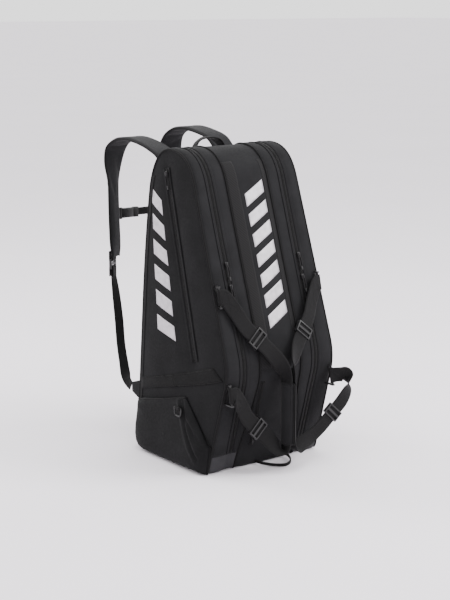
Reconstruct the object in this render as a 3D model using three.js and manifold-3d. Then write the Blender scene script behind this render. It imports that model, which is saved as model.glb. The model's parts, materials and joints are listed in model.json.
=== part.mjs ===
// A racket tournament bag, standing on its base. Millimetres, +Z up, front towards -Y.
// The origin is on the floor, midway between the two sides.
// The bag is a racket silhouette seen from the side: a flat base, a belly, a straight front that leans back,
// and a round crown. Its two side covers hinge on the back corners, and a divider splits the inside in two.
import * as THREE from "three";
import { mergeVertices } from "three/addons/utils/BufferGeometryUtils.js";
import Module from "manifold-3d";

const wasm = await Module();
wasm.setup();

// ---- Driving dimensions -----------------------------------------------------------------------------------

const HEIGHT = 745;
const HALF_WIDTH_BASE = 165;
const HALF_WIDTH_TOP = 150;
const BASE_FRONT = 147;
const BASE_BACK = 142;
const BELLY_DEPTH = 209;
const BELLY_HEIGHT = 255;
const BELLY_ROUND = 40;
const SHOULDER_DEPTH = 83;
const SHOULDER_HEIGHT = HEIGHT - 75;
const BACK_SHOULDER_DEPTH = 92;
const BACK_SHOULDER_HEIGHT = HEIGHT - 90;
const BACK_MID_DEPTH = 122;
const BACK_MID_HEIGHT = 330;
const CORNER = 14;

const CENTRE_SEAM = 62;
const ZIP_LINE = 108;
const ZIP_TAPE = 4;
const ZIP_PROUD = 1;
const ZIP_THICK = 3;
const SEAM_GAP = 0.4;
const WALL = 6;
const BACK_WALL = 12;
const BASE_THICK = 6;
const DIVIDER = 4;
const GUARD_TOP = 45;
const BACK_TOP = HEIGHT - 62;
const FLOOR_CLEARANCE = 1;
const PIPING = 2.5;

const WEBBING = 38;
const WEBBING_THICK = 2.4;
const NARROW_WEBBING = 25;
const GRIP_TOP = 218;
const GRIP_BOTTOM = 66;
const GRIP_DEPTH = 242;
const GRIP_HALF = 17;
const GRIP_WIDE = 46;
const GLIDE_PLAY = 2.2;

const ANCHOR_UPPER = 425;
const ANCHOR_LOWER = 205;
const ANCHOR_INSET = 8;
const ANCHOR_STANDOFF_UPPER = 11;
const ANCHOR_STANDOFF_LOWER = 17;
const ANCHOR_GAUGE = 7;
const BAR_RADIUS = 2.2;
const EYE_CLEARANCE = 0.8;
const EYE_WALL = 2.2;

const STRAP_OFFSET = 88;
const STRAP_WIDTH = 62;
const STRAP_THICK = 12;
const STRAP_TWIST = 0.6;
const LEFT_CREST = 749;
const RIGHT_CREST = 766;
const STERNUM_HEIGHT = 545;
const STERNUM_WEBBING = 20;
const SLIDER_LIFT = 1.6;

const POCKET_BULGE = 30;
const POCKET_WALL = 4;
const POCKET_TAPER = 16;

// ---- Mesh helpers -----------------------------------------------------------------------------------------

const vec = (x, y, z) => new THREE.Vector3(x, y, z);

function signedVolume(points, faces) {
  return faces.reduce((sum, [a, b, c]) => sum + points[a].dot(points[b].clone().cross(points[c])), 0) / 6;
}

// A closed body through a row of rings. Each ring has the same number of points; the caps follow capPlane.
function loft(rings, { closed = false, capPlane = null, paired = false } = {}) {
  const count = rings[0].length;
  const points = rings.flat();
  const faces = [];
  const stretches = closed ? rings.length : rings.length - 1;
  for (let i = 0; i < stretches; i++) {
    const here = i * count;
    const next = ((i + 1) % rings.length) * count;
    for (let j = 0; j < count; j++) {
      const k = (j + 1) % count;
      if (paired && j >= 2) faces.push([here + j, here + k, next + j], [here + k, next + k, next + j]);
      else faces.push([here + j, here + k, next + k], [here + j, next + k, next + j]);
    }
  }
  if (!closed) {
    const cap = capPlane
      ? THREE.ShapeUtils.triangulateShape(rings[0].map(capPlane), [])
      : Array.from({ length: count - 2 }, (_, j) => [0, j + 1, j + 2]);
    const last = (rings.length - 1) * count;
    const flat = capPlane ? rings[0].map(capPlane) : null;
    const forward = flat ? THREE.ShapeUtils.area(flat) > 0 : true;
    for (const [a, b, c] of cap) {
      const turn = flat && triangleArea(flat, a, b, c) > 0 !== forward;
      const [p, q, r] = turn ? [a, c, b] : [a, b, c];
      faces.push([r, q, p], [last + p, last + q, last + r]);
    }
  }
  if (signedVolume(points, faces) < 0) faces.forEach((f) => f.reverse());
  const geometry = new THREE.BufferGeometry();
  geometry.setAttribute("position", new THREE.Float32BufferAttribute(points.flatMap((p) => p.toArray()), 3));
  geometry.setIndex(faces.flat());
  return geometry;
}

function triangleArea(flat, a, b, c) {
  const [p, q] = [flat[b].clone().sub(flat[a]), flat[c].clone().sub(flat[a])];
  return p.x * q.y - q.x * p.y;
}

function solid(geometry) {
  const bare = geometry.clone();
  bare.deleteAttribute("normal");
  bare.deleteAttribute("uv");
  const merged = mergeVertices(bare, 1e-4);
  return new wasm.Manifold(
    new wasm.Mesh({
      numProp: 3,
      vertProperties: merged.attributes.position.array,
      triVerts: new Uint32Array(merged.index.array),
    }),
  );
}

function geometryOf(manifold) {
  const mesh = manifold.getMesh();
  const geometry = new THREE.BufferGeometry();
  geometry.setAttribute("position", new THREE.BufferAttribute(new Float32Array(mesh.vertProperties), 3));
  geometry.setIndex(new THREE.BufferAttribute(new Uint32Array(mesh.triVerts), 1));
  return geometry;
}

function join(...geometries) {
  return geometryOf(geometries.map(solid).reduce((a, b) => a.add(b)));
}

function cut(geometry, ...tools) {
  return geometryOf(tools.map(solid).reduce((a, b) => a.subtract(b), solid(geometry)));
}

function common(a, b) {
  return geometryOf(solid(a).intersect(solid(b)));
}

// A cylinder that stands along Z, centred on the origin.
function upright(radius, length, sides) {
  return new THREE.CylinderGeometry(radius, radius, length, sides).rotateX(Math.PI / 2);
}

function box(sizeX, sizeY, sizeZ, x = 0, y = 0, z = 0) {
  return new THREE.BoxGeometry(sizeX, sizeY, sizeZ).translate(x, y, z);
}

// Puts a geometry's own X, Y and Z along three directions of the bag, at a point of it.
function placed(geometry, origin, alongX, alongZ) {
  const x = alongX.clone().normalize();
  const z = alongZ.clone().addScaledVector(x, -alongZ.dot(x)).normalize();
  const y = z.clone().cross(x);
  return geometry.clone().applyMatrix4(new THREE.Matrix4().makeBasis(x, y, z).setPosition(origin));
}

function mirrored(geometry) {
  return geometryOf(solid(geometry).mirror([1, 0, 0]));
}

// ---- The racket silhouette: points (y, z), from the front of the base, over the crown, to the back --------

const FRONT_STRAIGHT_FOOT = BELLY_HEIGHT + BELLY_ROUND;
const FRONT_RISE = SHOULDER_HEIGHT - FRONT_STRAIGHT_FOOT;
const FRONT_LEAN = vec(0, BELLY_DEPTH - 4 - SHOULDER_DEPTH, FRONT_RISE).normalize();

function silhouette() {
  const path = new THREE.Path();
  path.moveTo(-BASE_FRONT + CORNER, 0);
  path.quadraticCurveTo(-BASE_FRONT, 0, -BASE_FRONT - 4, CORNER);
  path.lineTo(-BELLY_DEPTH + 2, BELLY_HEIGHT - BELLY_ROUND);
  path.quadraticCurveTo(-BELLY_DEPTH - 9, BELLY_HEIGHT, -BELLY_DEPTH + 4, FRONT_STRAIGHT_FOOT);
  path.lineTo(-SHOULDER_DEPTH, SHOULDER_HEIGHT);
  path.bezierCurveTo(-SHOULDER_DEPTH + 17, HEIGHT - 23, -35, HEIGHT, CORNER, HEIGHT);
  path.bezierCurveTo(50, HEIGHT, 78, HEIGHT - 30, BACK_SHOULDER_DEPTH, BACK_SHOULDER_HEIGHT);
  const bend = (BACK_SHOULDER_HEIGHT + BACK_MID_HEIGHT) / 2 + 30;
  path.quadraticCurveTo(BACK_MID_DEPTH - 10, bend, BACK_MID_DEPTH, BACK_MID_HEIGHT);
  path.lineTo(BASE_BACK - 2, CORNER);
  path.quadraticCurveTo(BASE_BACK, 0, BASE_BACK - CORNER, 0);
  return path.getPoints(8);
}

const OUTLINE = silhouette();
const CROWN_INDEX = OUTLINE.reduce((best, p, i) => (p.y > OUTLINE[best].y ? i : best), 0);

function halfWidth(z) {
  return HALF_WIDTH_BASE + ((HALF_WIDTH_TOP - HALF_WIDTH_BASE) * z) / HEIGHT;
}

// The outward direction of the outline at one of its points.
function outward(points, i) {
  const before = points[Math.max(i - 1, 0)];
  const after = points[Math.min(i + 1, points.length - 1)];
  const along = after.clone().sub(before).normalize();
  return new THREE.Vector2(-along.y, along.x);
}

// The part of the outline from one height on the front, over the crown, to another height on the back.
function overCrown(frontFrom, backTo) {
  const front = crossing(OUTLINE.slice(0, CROWN_INDEX + 1), frontFrom);
  const back = crossing(OUTLINE.slice(CROWN_INDEX).reverse(), backTo).reverse();
  return [...front, ...back.slice(1)];
}

// The stretch of a rising outline above a height, starting exactly at it.
function crossing(rising, height) {
  const i = rising.findIndex((p) => p.y > height);
  if (i <= 0) return rising;
  const share = (height - rising[i - 1].y) / (rising[i].y - rising[i - 1].y);
  return [rising[i - 1].clone().lerp(rising[i], share), ...rising.slice(i)];
}

// The stretch of a side of the outline between two heights, rising.
function between(side, low, high) {
  const rising = side === "front" ? OUTLINE.slice(0, CROWN_INDEX + 1) : OUTLINE.slice(CROWN_INDEX).reverse();
  const above = crossing(rising, low);
  const count = above.findIndex((p) => p.y > high);
  const kept = count < 0 ? above : above.slice(0, count);
  return count < 0 ? kept : [...kept, crossing(rising, high)[0]];
}

function surfaceDepth(side, z) {
  return between(side, z, z + 1)[0].x;
}

// A strip of wall that follows outline points, between two X positions that may depend on height.
function band(points, xFrom, xTo, proud, thick) {
  const place = (x, z) => (typeof x === "function" ? x(z) : x);
  const facing = points[0].x < 0 ? 1 : -1;
  return loft(
    points.map((p, i) => {
      const out = outward(points, i).multiplyScalar(facing);
      const outer = p.clone().addScaledVector(out, proud);
      const inner = p.clone().addScaledVector(out, proud - thick);
      return [
        vec(place(xFrom, p.y), outer.x, outer.y),
        vec(place(xTo, p.y), outer.x, outer.y),
        vec(place(xTo, p.y), inner.x, inner.y),
        vec(place(xFrom, p.y), inner.x, inner.y),
      ];
    }),
  );
}

// A flat strip that follows a smooth line through points. Its width lies along the given directions.
function ribbon(stations, width, thick, steps) {
  const line = new THREE.CatmullRomCurve3(stations.map((s) => s.at));
  const across = new THREE.CatmullRomCurve3(stations.map((s) => s.across));
  const rings = [];
  for (let i = 0; i <= steps; i++) {
    const t = i / steps;
    const at = line.getPoint(t);
    const along = line.getTangent(t);
    const side = across.getPoint(t);
    side.addScaledVector(along, -side.dot(along)).normalize();
    const flat = along.clone().cross(side).normalize();
    side.multiplyScalar(width / 2);
    flat.multiplyScalar(thick / 2);
    const corner = (w, n) => at.clone().addScaledVector(side, w).addScaledVector(flat, n);
    rings.push([corner(-1, -1), corner(1, -1), corner(1, 1), corner(-1, 1)]);
  }
  return loft(rings, { paired: true });
}

const station = (x, y, z, across) => ({ at: vec(x, y, z), across: vec(...across) });

// ---- Materials --------------------------------------------------------------------------------------------

const finish = (color, roughness) => new THREE.MeshStandardMaterial({ color, roughness, metalness: 0 });
const SHELL = finish(0x2b2a2d, 0.75);
const COATED = finish(0x3d3d42, 0.55);
const TAPE = finish(0x1b1b1d, 0.8);
const STRAP = finish(0x27282a, 0.85);
const MESH_PAD = finish(0x1e1e20, 0.95);
const PLASTIC = finish(0x1a1a1b, 0.45);

const bag = new THREE.Group();

function add(name, geometry, material) {
  const mesh = new THREE.Mesh(geometry, material);
  mesh.name = name;
  bag.add(mesh);
}

// Adds a left piece and its mirror image on the right.
function addPair(name, geometry, material) {
  add(`left_${name}`, geometry, material);
  add(`right_${name}`, mirrored(geometry), material);
}

// ---- Body: back, base, front and divider ------------------------------------------------------------------

const sideInner = (z) => -halfWidth(z) + WALL + SEAM_GAP;

function bodyShell() {
  const back = between("back", BASE_THICK + SEAM_GAP, BACK_TOP);
  add("back_panel", band(back, sideInner, (z) => -sideInner(z), 0, BACK_WALL), MESH_PAD);

  const centre = overCrown(BASE_THICK + SEAM_GAP, BACK_TOP + SEAM_GAP);
  const centreEdge = CENTRE_SEAM - SEAM_GAP / 2;
  const bead = band(centre, -centreEdge, -centreEdge + PIPING, PIPING, PIPING + 1);
  const panel = band(centre, -centreEdge, centreEdge, 0, WALL);
  add("centre_front_panel", join(panel, bead, mirrored(bead)), SHELL);

  const strip = overCrown(GUARD_TOP + SEAM_GAP, BACK_TOP + SEAM_GAP);
  const tapeInner = -ZIP_LINE + ZIP_TAPE + SEAM_GAP;
  addPair("inner_gusset", band(strip, tapeInner, -CENTRE_SEAM - SEAM_GAP / 2, 0, WALL), SHELL);
  addPair(
    "zip_tape_inner",
    band(strip, -ZIP_LINE + SEAM_GAP / 2, -ZIP_LINE + ZIP_TAPE, ZIP_PROUD, ZIP_THICK),
    TAPE,
  );
  const guard = between("front", BASE_THICK + SEAM_GAP, GUARD_TOP);
  addPair("base_guard", band(guard, sideInner, -CENTRE_SEAM - SEAM_GAP / 2, 0, WALL - 1), COATED);

  const baseWidth = 2 * (HALF_WIDTH_BASE - WALL - SEAM_GAP - 1);
  const baseDepth = BASE_FRONT + BASE_BACK - 2 * CORNER;
  const middle = (BASE_BACK - BASE_FRONT) / 2;
  add("base_board", box(baseWidth, baseDepth, BASE_THICK, 0, middle, BASE_THICK / 2), COATED);

  const low = BASE_THICK + SEAM_GAP;
  const inside = OUTLINE.map((_, i) => insetPoint(i, WALL + 2)).filter((p) => p.y > low + CORNER);
  const last = inside[inside.length - 1];
  const foot = new THREE.Vector2(surfaceDepth("front", low) + WALL + 3, low);
  const outline = [foot, ...inside, new THREE.Vector2(last.x, low)];
  add("centre_divider", plate(outline, () => -DIVIDER / 2, () => DIVIDER / 2), MESH_PAD);
}

// A point of the outline moved inwards, past the wall that stands there.
function insetPoint(i, inset) {
  const behind = OUTLINE[i].x > 0 && i > CROWN_INDEX;
  return OUTLINE[i].clone().addScaledVector(outward(OUTLINE, i), -(behind ? BACK_WALL + 2 : inset));
}

// A flat sheet of the given outline, between two X positions that may depend on height.
function plate(points, xOuter, xInner) {
  const apart = points.filter((p, i) => p.distanceTo(points[(i + 1) % points.length]) > 0.1);
  const turns = apart.filter((_, i) => {
    const [a, c] = [(i + apart.length - 1) % apart.length, (i + 1) % apart.length];
    return Math.abs(triangleArea(apart, a, i, c)) > 1e-3;
  });
  const ring = (x) => turns.map((p) => vec(x(p.y), p.x, p.y));
  return loft([ring(xOuter), ring(xInner)], { capPlane: (v) => new THREE.Vector2(v.y, v.z) });
}

// A short zip chain lying on the front panel, with the pocket it closes behind it.
function frontPocketZip() {
  const chain = between("front", FRONT_POCKET.low, FRONT_POCKET.high);
  add("front_pocket_zip", band(chain, FRONT_POCKET.x - ZIP_TAPE, FRONT_POCKET.x + ZIP_TAPE, 2.2, 1.8), TAPE);
}

const FRONT_POCKET = { x: -CENTRE_SEAM + 10, low: 62, high: BELLY_HEIGHT - BELLY_ROUND };

// ---- Side covers ------------------------------------------------------------------------------------------

// The side zip runs straight down the side panel, from near the crown to the band.
const SIDE_ZIP_TOP = new THREE.Vector2(23, HEIGHT - 44);
const SIDE_ZIP_FOOT = new THREE.Vector2(-97, 262);

function sideCovers() {
  const raised = OUTLINE.map((p) => new THREE.Vector2(p.x, Math.max(p.y, FLOOR_CLEARANCE)));
  const panel = plate(raised, (z) => -halfWidth(z), (z) => -halfWidth(z) + WALL);
  const edge = overCrown(GUARD_TOP, BACK_TOP);
  const bead = band(edge, (z) => -halfWidth(z), (z) => -halfWidth(z) + PIPING, PIPING, PIPING + 1);
  addPair("side_panel", join(panel, bead), SHELL);

  const strip = overCrown(GUARD_TOP + SEAM_GAP, BACK_TOP + SEAM_GAP);
  const tapeOuter = -ZIP_LINE - ZIP_TAPE;
  addPair("outer_gusset", band(strip, sideInner, tapeOuter - SEAM_GAP, 0, WALL), SHELL);
  addPair("zip_tape_outer", band(strip, tapeOuter, -ZIP_LINE - SEAM_GAP / 2, ZIP_PROUD, ZIP_THICK), TAPE);
  addPair("side_pocket_zip", onSide(sideStrip(SIDE_ZIP_TOP, SIDE_ZIP_FOOT, ZIP_TAPE * 2), 1.8), TAPE);
}

// The four corners of a straight strip on the side, as points (y, z).
function sideStrip(from, to, width) {
  const along = to.clone().sub(from).normalize();
  const across = new THREE.Vector2(-along.y, along.x).multiplyScalar(width / 2);
  return [from.clone().add(across), to.clone().add(across), to.clone().sub(across), from.clone().sub(across)];
}

// A thin layer of the given outline, lying on the outside of the left side panel.
function onSide(points, thick, lift = SEAM_GAP) {
  return plate(points, (z) => -halfWidth(z) - lift - thick, (z) => -halfWidth(z) - lift);
}

// A dark band of webbing that crosses the left side, higher at the front.
function sideBand() {
  const back = new THREE.Vector2(surfaceDepth("back", 165) - 3, 165);
  const front = new THREE.Vector2(surfaceDepth("front", 250) + 3, 250);
  add("side_band", onSide(sideStrip(front, back, 28), 1.6), STRAP);
}

// ---- Zip sliders with their pulls -------------------------------------------------------------------------

// A slider with a short pull that points along -Z of its own frame; +X of it points away from the bag.
function slider() {
  const body = box(5, 9, 13, 2.5, 0, 0);
  const bridge = box(3, 3, 10, 6, 0, 0);
  const pull = box(2.4, 7, 34, 5.5, 0, -20);
  return join(body, bridge, pull);
}

function zipSliders() {
  const lift = ZIP_PROUD + SLIDER_LIFT;
  const facing = vec(0, -FRONT_LEAN.z, FRONT_LEAN.y);
  const onFront = (x, z, proud) => vec(x, surfaceDepth("front", z), z).addScaledVector(facing, proud);
  const upper = placed(slider(), onFront(-ZIP_LINE, ZIP_MEET + 10, lift), facing, FRONT_LEAN);
  const lower = placed(slider(), onFront(-ZIP_LINE, ZIP_MEET - 40, lift), facing, FRONT_LEAN);
  addPair("upper_slider", upper, PLASTIC);
  addPair("lower_slider", lower, PLASTIC);

  const side = SIDE_ZIP_TOP.clone().lerp(SIDE_ZIP_FOOT, 0.03);
  const down = SIDE_ZIP_TOP.clone().sub(SIDE_ZIP_FOOT).normalize();
  const at = vec(-halfWidth(side.y) - 1.8 - 2 * SEAM_GAP, side.x, side.y);
  addPair("side_pocket_slider", placed(slider(), at, vec(-1, 0, -0.02), vec(0, down.x, down.y)), PLASTIC);

  const low = FRONT_POCKET.low + 38;
  const belly = between("front", FRONT_POCKET.low, FRONT_POCKET.high);
  const top = belly[belly.length - 1];
  const rise = vec(0, top.x - belly[0].x, top.y - belly[0].y).normalize();
  const out = vec(0, -rise.z, rise.y);
  const pocketAt = vec(FRONT_POCKET.x, surfaceDepth("front", low), low).addScaledVector(out, 2.2 + SEAM_GAP);
  add("front_pocket_slider", placed(slider(), pocketAt, out, rise), PLASTIC);
}

const ZIP_MEET = 480;

// ---- Carry handles ----------------------------------------------------------------------------------------

const barAt = (z, standoff) => vec(-halfWidth(z) + ANCHOR_INSET, surfaceDepth("front", z) - standoff, z);
const BAR_UPPER = barAt(ANCHOR_UPPER, ANCHOR_STANDOFF_UPPER);
const BAR_LOWER = barAt(ANCHOR_LOWER, ANCHOR_STANDOFF_LOWER);
const BAR_LINE = BAR_UPPER.clone().sub(BAR_LOWER).normalize();

// Puts a geometry's Z on the handle's hinge line, at a point of it, with its X facing forwards.
function onHingeLine(geometry, at) {
  const forward = vec(0, -BAR_LINE.z, BAR_LINE.y);
  return placed(geometry, at, forward, BAR_LINE);
}

// A flat plate whose outline is given in the (y, z) plane, as thick as the anchor is wide.
function anchorPlate(points, x) {
  const half = ANCHOR_GAUGE / 2;
  return plate(points.map(([y, z]) => new THREE.Vector2(y, z)), () => x - half, () => x + half);
}

// A plastic bar on two lugs, sewn to the cover's edge. The handle's webbing turns round the bar.
function anchor(at) {
  const reach = WEBBING / 2 + 5;
  const bar = upright(BAR_RADIUS, 2 * reach, 12);
  const seat = (z) => surfaceDepth("front", z) - 2 * SEAM_GAP;
  const [low, high] = [at.z - reach - 1, at.z + reach + 1];
  const outline = [[seat(low), low], [seat(high), high], [seat(high) - 2, high], [seat(low) - 2, low]];
  const foot = anchorPlate(outline, at.x);
  const lug = (side) => {
    const end = at.clone().addScaledVector(BAR_LINE, side * reach);
    const rise = 1.6;
    return anchorPlate(
      [
        [seat(end.z) - 1, end.z - rise],
        [seat(end.z) - 1, end.z + rise],
        [end.y - BAR_RADIUS, end.z + rise],
        [end.y - BAR_RADIUS, end.z - rise],
      ],
      at.x,
    );
  };
  return join(onHingeLine(bar, at), foot, lug(1), lug(-1));
}

function eye(at) {
  const inner = BAR_RADIUS + EYE_CLEARANCE;
  const outer = inner + EYE_WALL;
  return onHingeLine(cut(upright(outer, WEBBING - 2, 14), upright(inner, WEBBING, 14)), at);
}

const UPRIGHT = BAR_LINE.toArray();
const EYE_FRONT = BAR_RADIUS + EYE_CLEARANCE + EYE_WALL / 2;

// One handle: down from the upper anchor, through the grip, and back to the lower anchor.
function handleStations(middle, lowerLeg) {
  const upper = BAR_UPPER;
  const lower = BAR_LOWER;
  return [
    station(upper.x + 1, upper.y - EYE_FRONT, upper.z, UPRIGHT),
    station(upper.x + 8, upper.y - EYE_FRONT - 1, upper.z, UPRIGHT),
    station(upper.x + 34, upper.y - 16, upper.z - 36, [0.6, 0.05, 0.75]),
    station(-96, -201, 355, [0.72, 0.1, 0.68]),
    station(-70, -212, 326, [0.74, 0.1, 0.66]),
    station(-44, -223, 297, [0.74, 0.1, 0.66]),
    station(middle - 16, -236, 266, [0.72, -0.35, 0.45]),
    station(middle - 2, -GRIP_DEPTH, GRIP_TOP + 16, [0.2, -1, 0.1]),
    station(middle, -GRIP_DEPTH, GRIP_TOP - 12, [0, -1, 0]),
    station(middle, -GRIP_DEPTH, (GRIP_TOP + GRIP_BOTTOM) / 2, [0, -1, 0]),
    station(middle, -GRIP_DEPTH, GRIP_BOTTOM + 12, [0, -1, 0]),
    ...lowerLeg,
    station(lower.x + 11, lower.y - EYE_FRONT - 1, lower.z + 1, UPRIGHT.map((v) => -v)),
    station(lower.x + 1, lower.y - EYE_FRONT, lower.z, UPRIGHT.map((v) => -v)),
  ];
}

// The left handle's lower leg lies across the front, and the right one's bows out past the side.
const lyingLeg = (middle) => [
  station(middle - 4, -GRIP_DEPTH, GRIP_BOTTOM - 12, [-0.3, -1, 0]),
  station(middle - 22, -238, 62, [-0.6, -0.4, -0.6]),
  station(-50, -228, 88, [-0.65, 0, -0.75]),
  station(-76, -224, 115, [-0.65, 0, -0.75]),
  station(-102, -220, 142, [-0.65, 0, -0.75]),
  station(-120, -222, 172, [-0.55, 0, -0.8]),
];
const bowedLeg = (middle) => [
  station(middle - 4, -GRIP_DEPTH, GRIP_BOTTOM - 12, [-0.3, -1, 0]),
  station(middle - 30, -238, 56, [-0.4, -0.4, -0.8]),
  station(-82, -232, 70, [-0.3, 0, -1]),
  station(-112, -236, 92, [-0.7, 0, -0.7]),
  station(-138, -242, 120, [-0.7, 0, -0.7]),
  station(-164, -248, 148, [-0.7, 0, -0.7]),
  station(-184, -247, 180, [-0.3, 0.2, -0.9]),
  station(-182, -238, 204, [0, 0, -1]),
  station(-166, -234, 207, [0, 0.2, -1]),
];

// A padded half of the grip, round on the outside and flat where the two halves meet.
// Its flat face keeps within the handle's swing, so that either half turns clear of the other.
function gripHalf(webbing) {
  const rings = [];
  const steps = 10;
  for (const [z, swell] of [[GRIP_BOTTOM, 0.8], [GRIP_BOTTOM + 8, 1], [GRIP_TOP - 8, 1], [GRIP_TOP, 0.8]]) {
    const ring = [];
    for (let i = 0; i <= steps; i++) {
      const turn = Math.PI / 2 + (Math.PI * i) / steps;
      const x = GRIP_HALF * swell * Math.cos(turn);
      const y = (GRIP_WIDE / 2) * swell * Math.sin(turn);
      ring.push(vec(x - SEAM_GAP / 2, y - GRIP_DEPTH, z));
    }
    rings.push(ring);
  }
  const swing = onHingeLine(upright(SWING_RADIUS, 4 * GRIP_TOP, 180), BAR_LOWER);
  return cut(common(loft(rings), swing), webbing);
}

// A flat plastic frame that the webbing runs through, with two windows right through it.
function glide() {
  const slot = WEBBING_THICK + GLIDE_PLAY;
  const outer = box(WEBBING + 8, slot + 3.6, 27);
  const passage = box(WEBBING + 1.2, slot, 40);
  const window = (z) => box(WEBBING + 1.2, 20, 8, 0, 0, z);
  return cut(outer, passage, window(-6.5), window(6.5));
}

// A glide centred on a straight stretch between two stations of a handle.
function glideOn(stations, index) {
  const before = stations[index - 1].at;
  const after = stations[index + 1].at;
  const along = after.clone().sub(before).normalize();
  const across = stations[index].across.clone();
  across.addScaledVector(along, -across.dot(along)).normalize();
  return placed(glide(), stations[index].at, across, along);
}

const SWING_RADIUS = -BAR_LOWER.x - 0.6;
const GRIP_INSIDE = 7;
const HANDLE_STEPS = 64;

function addHandle(side, lowerLeg, upperGlide, lowerGlide) {
  const middle = -GRIP_INSIDE;
  const stations = handleStations(middle, lowerLeg(middle));
  const mirror = side === "right" ? mirrored : (g) => g;
  const webbing = ribbon(stations, WEBBING, WEBBING_THICK, HANDLE_STEPS);
  const clearance = ribbon(stations, WEBBING + 1, WEBBING_THICK + 1, HANDLE_STEPS);
  add(`${side}_handle_webbing`, mirror(join(webbing, eye(BAR_UPPER), eye(BAR_LOWER))), STRAP);
  add(`${side}_grip_pad`, mirror(gripHalf(clearance)), SHELL);
  add(`${side}_upper_glide`, mirror(glideOn(stations, upperGlide)), PLASTIC);
  add(`${side}_lower_glide`, mirror(glideOn(stations, lowerGlide)), PLASTIC);
  add(`${side}_upper_anchor`, mirror(anchor(BAR_UPPER)), PLASTIC);
  add(`${side}_lower_anchor`, mirror(anchor(BAR_LOWER)), PLASTIC);
}

// ---- Shoulder straps --------------------------------------------------------------------------------------

// The pad's middle line, as points (y, z): up the back, over the crest, and down behind the bag.
const padLine = (crest) => [
  [104, BACK_TOP - 22], [98, BACK_TOP + 6], [112, BACK_TOP + 32], [145, crest - 19], [195, crest - 6],
  [250, crest], [300, crest - 7], [335, crest - 28], [350, crest - 64], [352, 620], [351, 545], [348, 480],
  [345, PAD_FOOT],
];
const PAD_FOOT = 438;

// The pads turn towards each other on their way down.
function padAcross(z, crest) {
  const turn = STRAP_TWIST * THREE.MathUtils.smoothstep(crest - 20 - z, 0, 110);
  return [Math.cos(turn), Math.sin(turn), 0];
}

function strapPieces(crest) {
  const line = padLine(crest);
  const turned = (y, z) => (y > 300 ? padAcross(z, crest) : [1, 0, 0]);
  const stations = line.map(([y, z]) => station(-STRAP_OFFSET, y, z, turned(y, z)));
  const pad = ribbon(stations, STRAP_WIDTH, STRAP_THICK, 30);

  const across = padAcross(PAD_FOOT, crest);
  const lockAt = vec(-STRAP_OFFSET - 8, line[line.length - 1][0] + 4, PAD_FOOT - 17);
  const frame = cut(box(34, 6, 26), box(27, 8, 6, 0, 0, 6), box(27, 8, 6, 0, 0, -6));
  const lock = placed(frame, lockAt, vec(...across), vec(0, 0, 1));
  const webbing = [
    station(lockAt.x, lockAt.y - 1, lockAt.z - 17, across),
    station(-100, 328, 340, [1, 0.1, 0]),
    station(-107, 306, 278, [1, -0.1, 0]),
    station(-116, 286, 226, [0.95, 0, 0.1]),
    station(-127, 258, 184, [0.8, 0.2, 0.45]),
    station(-138, 228, 147, [0.4, 0.2, 0.8]),
    station(TAB_TIP.x, TAB_TIP.y + 7, TAB_TIP.z, [0.1, 0, 1]),
  ];
  return { pad, lock, webbing: ribbon(webbing, NARROW_WEBBING, WEBBING_THICK, 24) };
}

function shoulderStraps() {
  const left = strapPieces(LEFT_CREST);
  const right = strapPieces(RIGHT_CREST);
  for (const [piece, name, material] of [
    ["pad", "shoulder_pad", STRAP],
    ["lock", "ladder_lock", PLASTIC],
    ["webbing", "strap_webbing", STRAP],
  ]) {
    add(`left_${name}`, left[piece], material);
    add(`right_${name}`, mirrored(right[piece]), material);
  }
  addPair("strap_tab", strapTab(), STRAP);
  add("strap_yoke", strapYoke(), STRAP);
}

const TAB_TIP = vec(-142, 196, 134);

// A folded triangle of shell cloth that joins the lower webbing to the back corner.
function strapTab() {
  const seat = (z) => surfaceDepth("back", z) + 1;
  const [low, high] = [TAB_TIP.z - 38, TAB_TIP.z + 34];
  const half = NARROW_WEBBING / 2;
  const ring = (x) => [
    vec(x, seat(low), low),
    vec(x, TAB_TIP.y, TAB_TIP.z - half),
    vec(x, TAB_TIP.y, TAB_TIP.z + half),
    vec(x, seat(high), high),
  ];
  return loft([ring(TAB_TIP.x + 2), ring(TAB_TIP.x - 1)]);
}

// The band sewn across the top of the back panel, which holds both straps and the haul loop.
function strapYoke() {
  const seat = between("back", BACK_TOP - 46, BACK_TOP - 4);
  return band(seat, -STRAP_OFFSET - STRAP_WIDTH / 2, STRAP_OFFSET + STRAP_WIDTH / 2, 3, 2.6);
}

// The chest strap: a socket at the left pad, and a tongue that rides on the webbing of the right pad. Each
// side hangs on a carriage that clips to the edge of its pad.
const PAD_EDGE = -STRAP_OFFSET + (STRAP_WIDTH / 2) * Math.cos(STRAP_TWIST);
const BUCKLE_Y = 351 + (STRAP_WIDTH / 2) * Math.sin(STRAP_TWIST);
const CARRIAGE = 10;
const SOCKET_LENGTH = 34;

function sternumStrap() {
  const socketFrom = PAD_EDGE + CARRIAGE;
  const mouth = socketFrom + SOCKET_LENGTH;
  const at = (sizeX, sizeY, sizeZ, x, y = 0, z = 0) =>
    box(sizeX, sizeY, sizeZ, x, BUCKLE_Y + y, STERNUM_HEIGHT + z);
  const clip = at(CARRIAGE - 3, 6, 30, PAD_EDGE + CARRIAGE / 2 + 1.2);
  addPair("sternum_carriage", clip, PLASTIC);

  const shell = at(SOCKET_LENGTH, 9, 25, socketFrom + SOCKET_LENGTH / 2);
  add("sternum_socket", cut(shell, at(24, 5, 19, mouth - 10)), PLASTIC);

  const plug = at(26, 4, 18, mouth - 7);
  const head = cut(at(14, 10, 26, mouth + 8.5, 1.5), at(16, 3, 21.5, mouth + 8.5, 4));
  add("sternum_tongue", join(plug, head), PLASTIC);

  const [from, to] = [mouth + 3, -PAD_EDGE - CARRIAGE - 0.4];
  add("sternum_webbing", at(to - from, 1.6, STERNUM_WEBBING, (from + to) / 2, 4), STRAP);
}

// ---- Loops ------------------------------------------------------------------------------------------------

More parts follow.
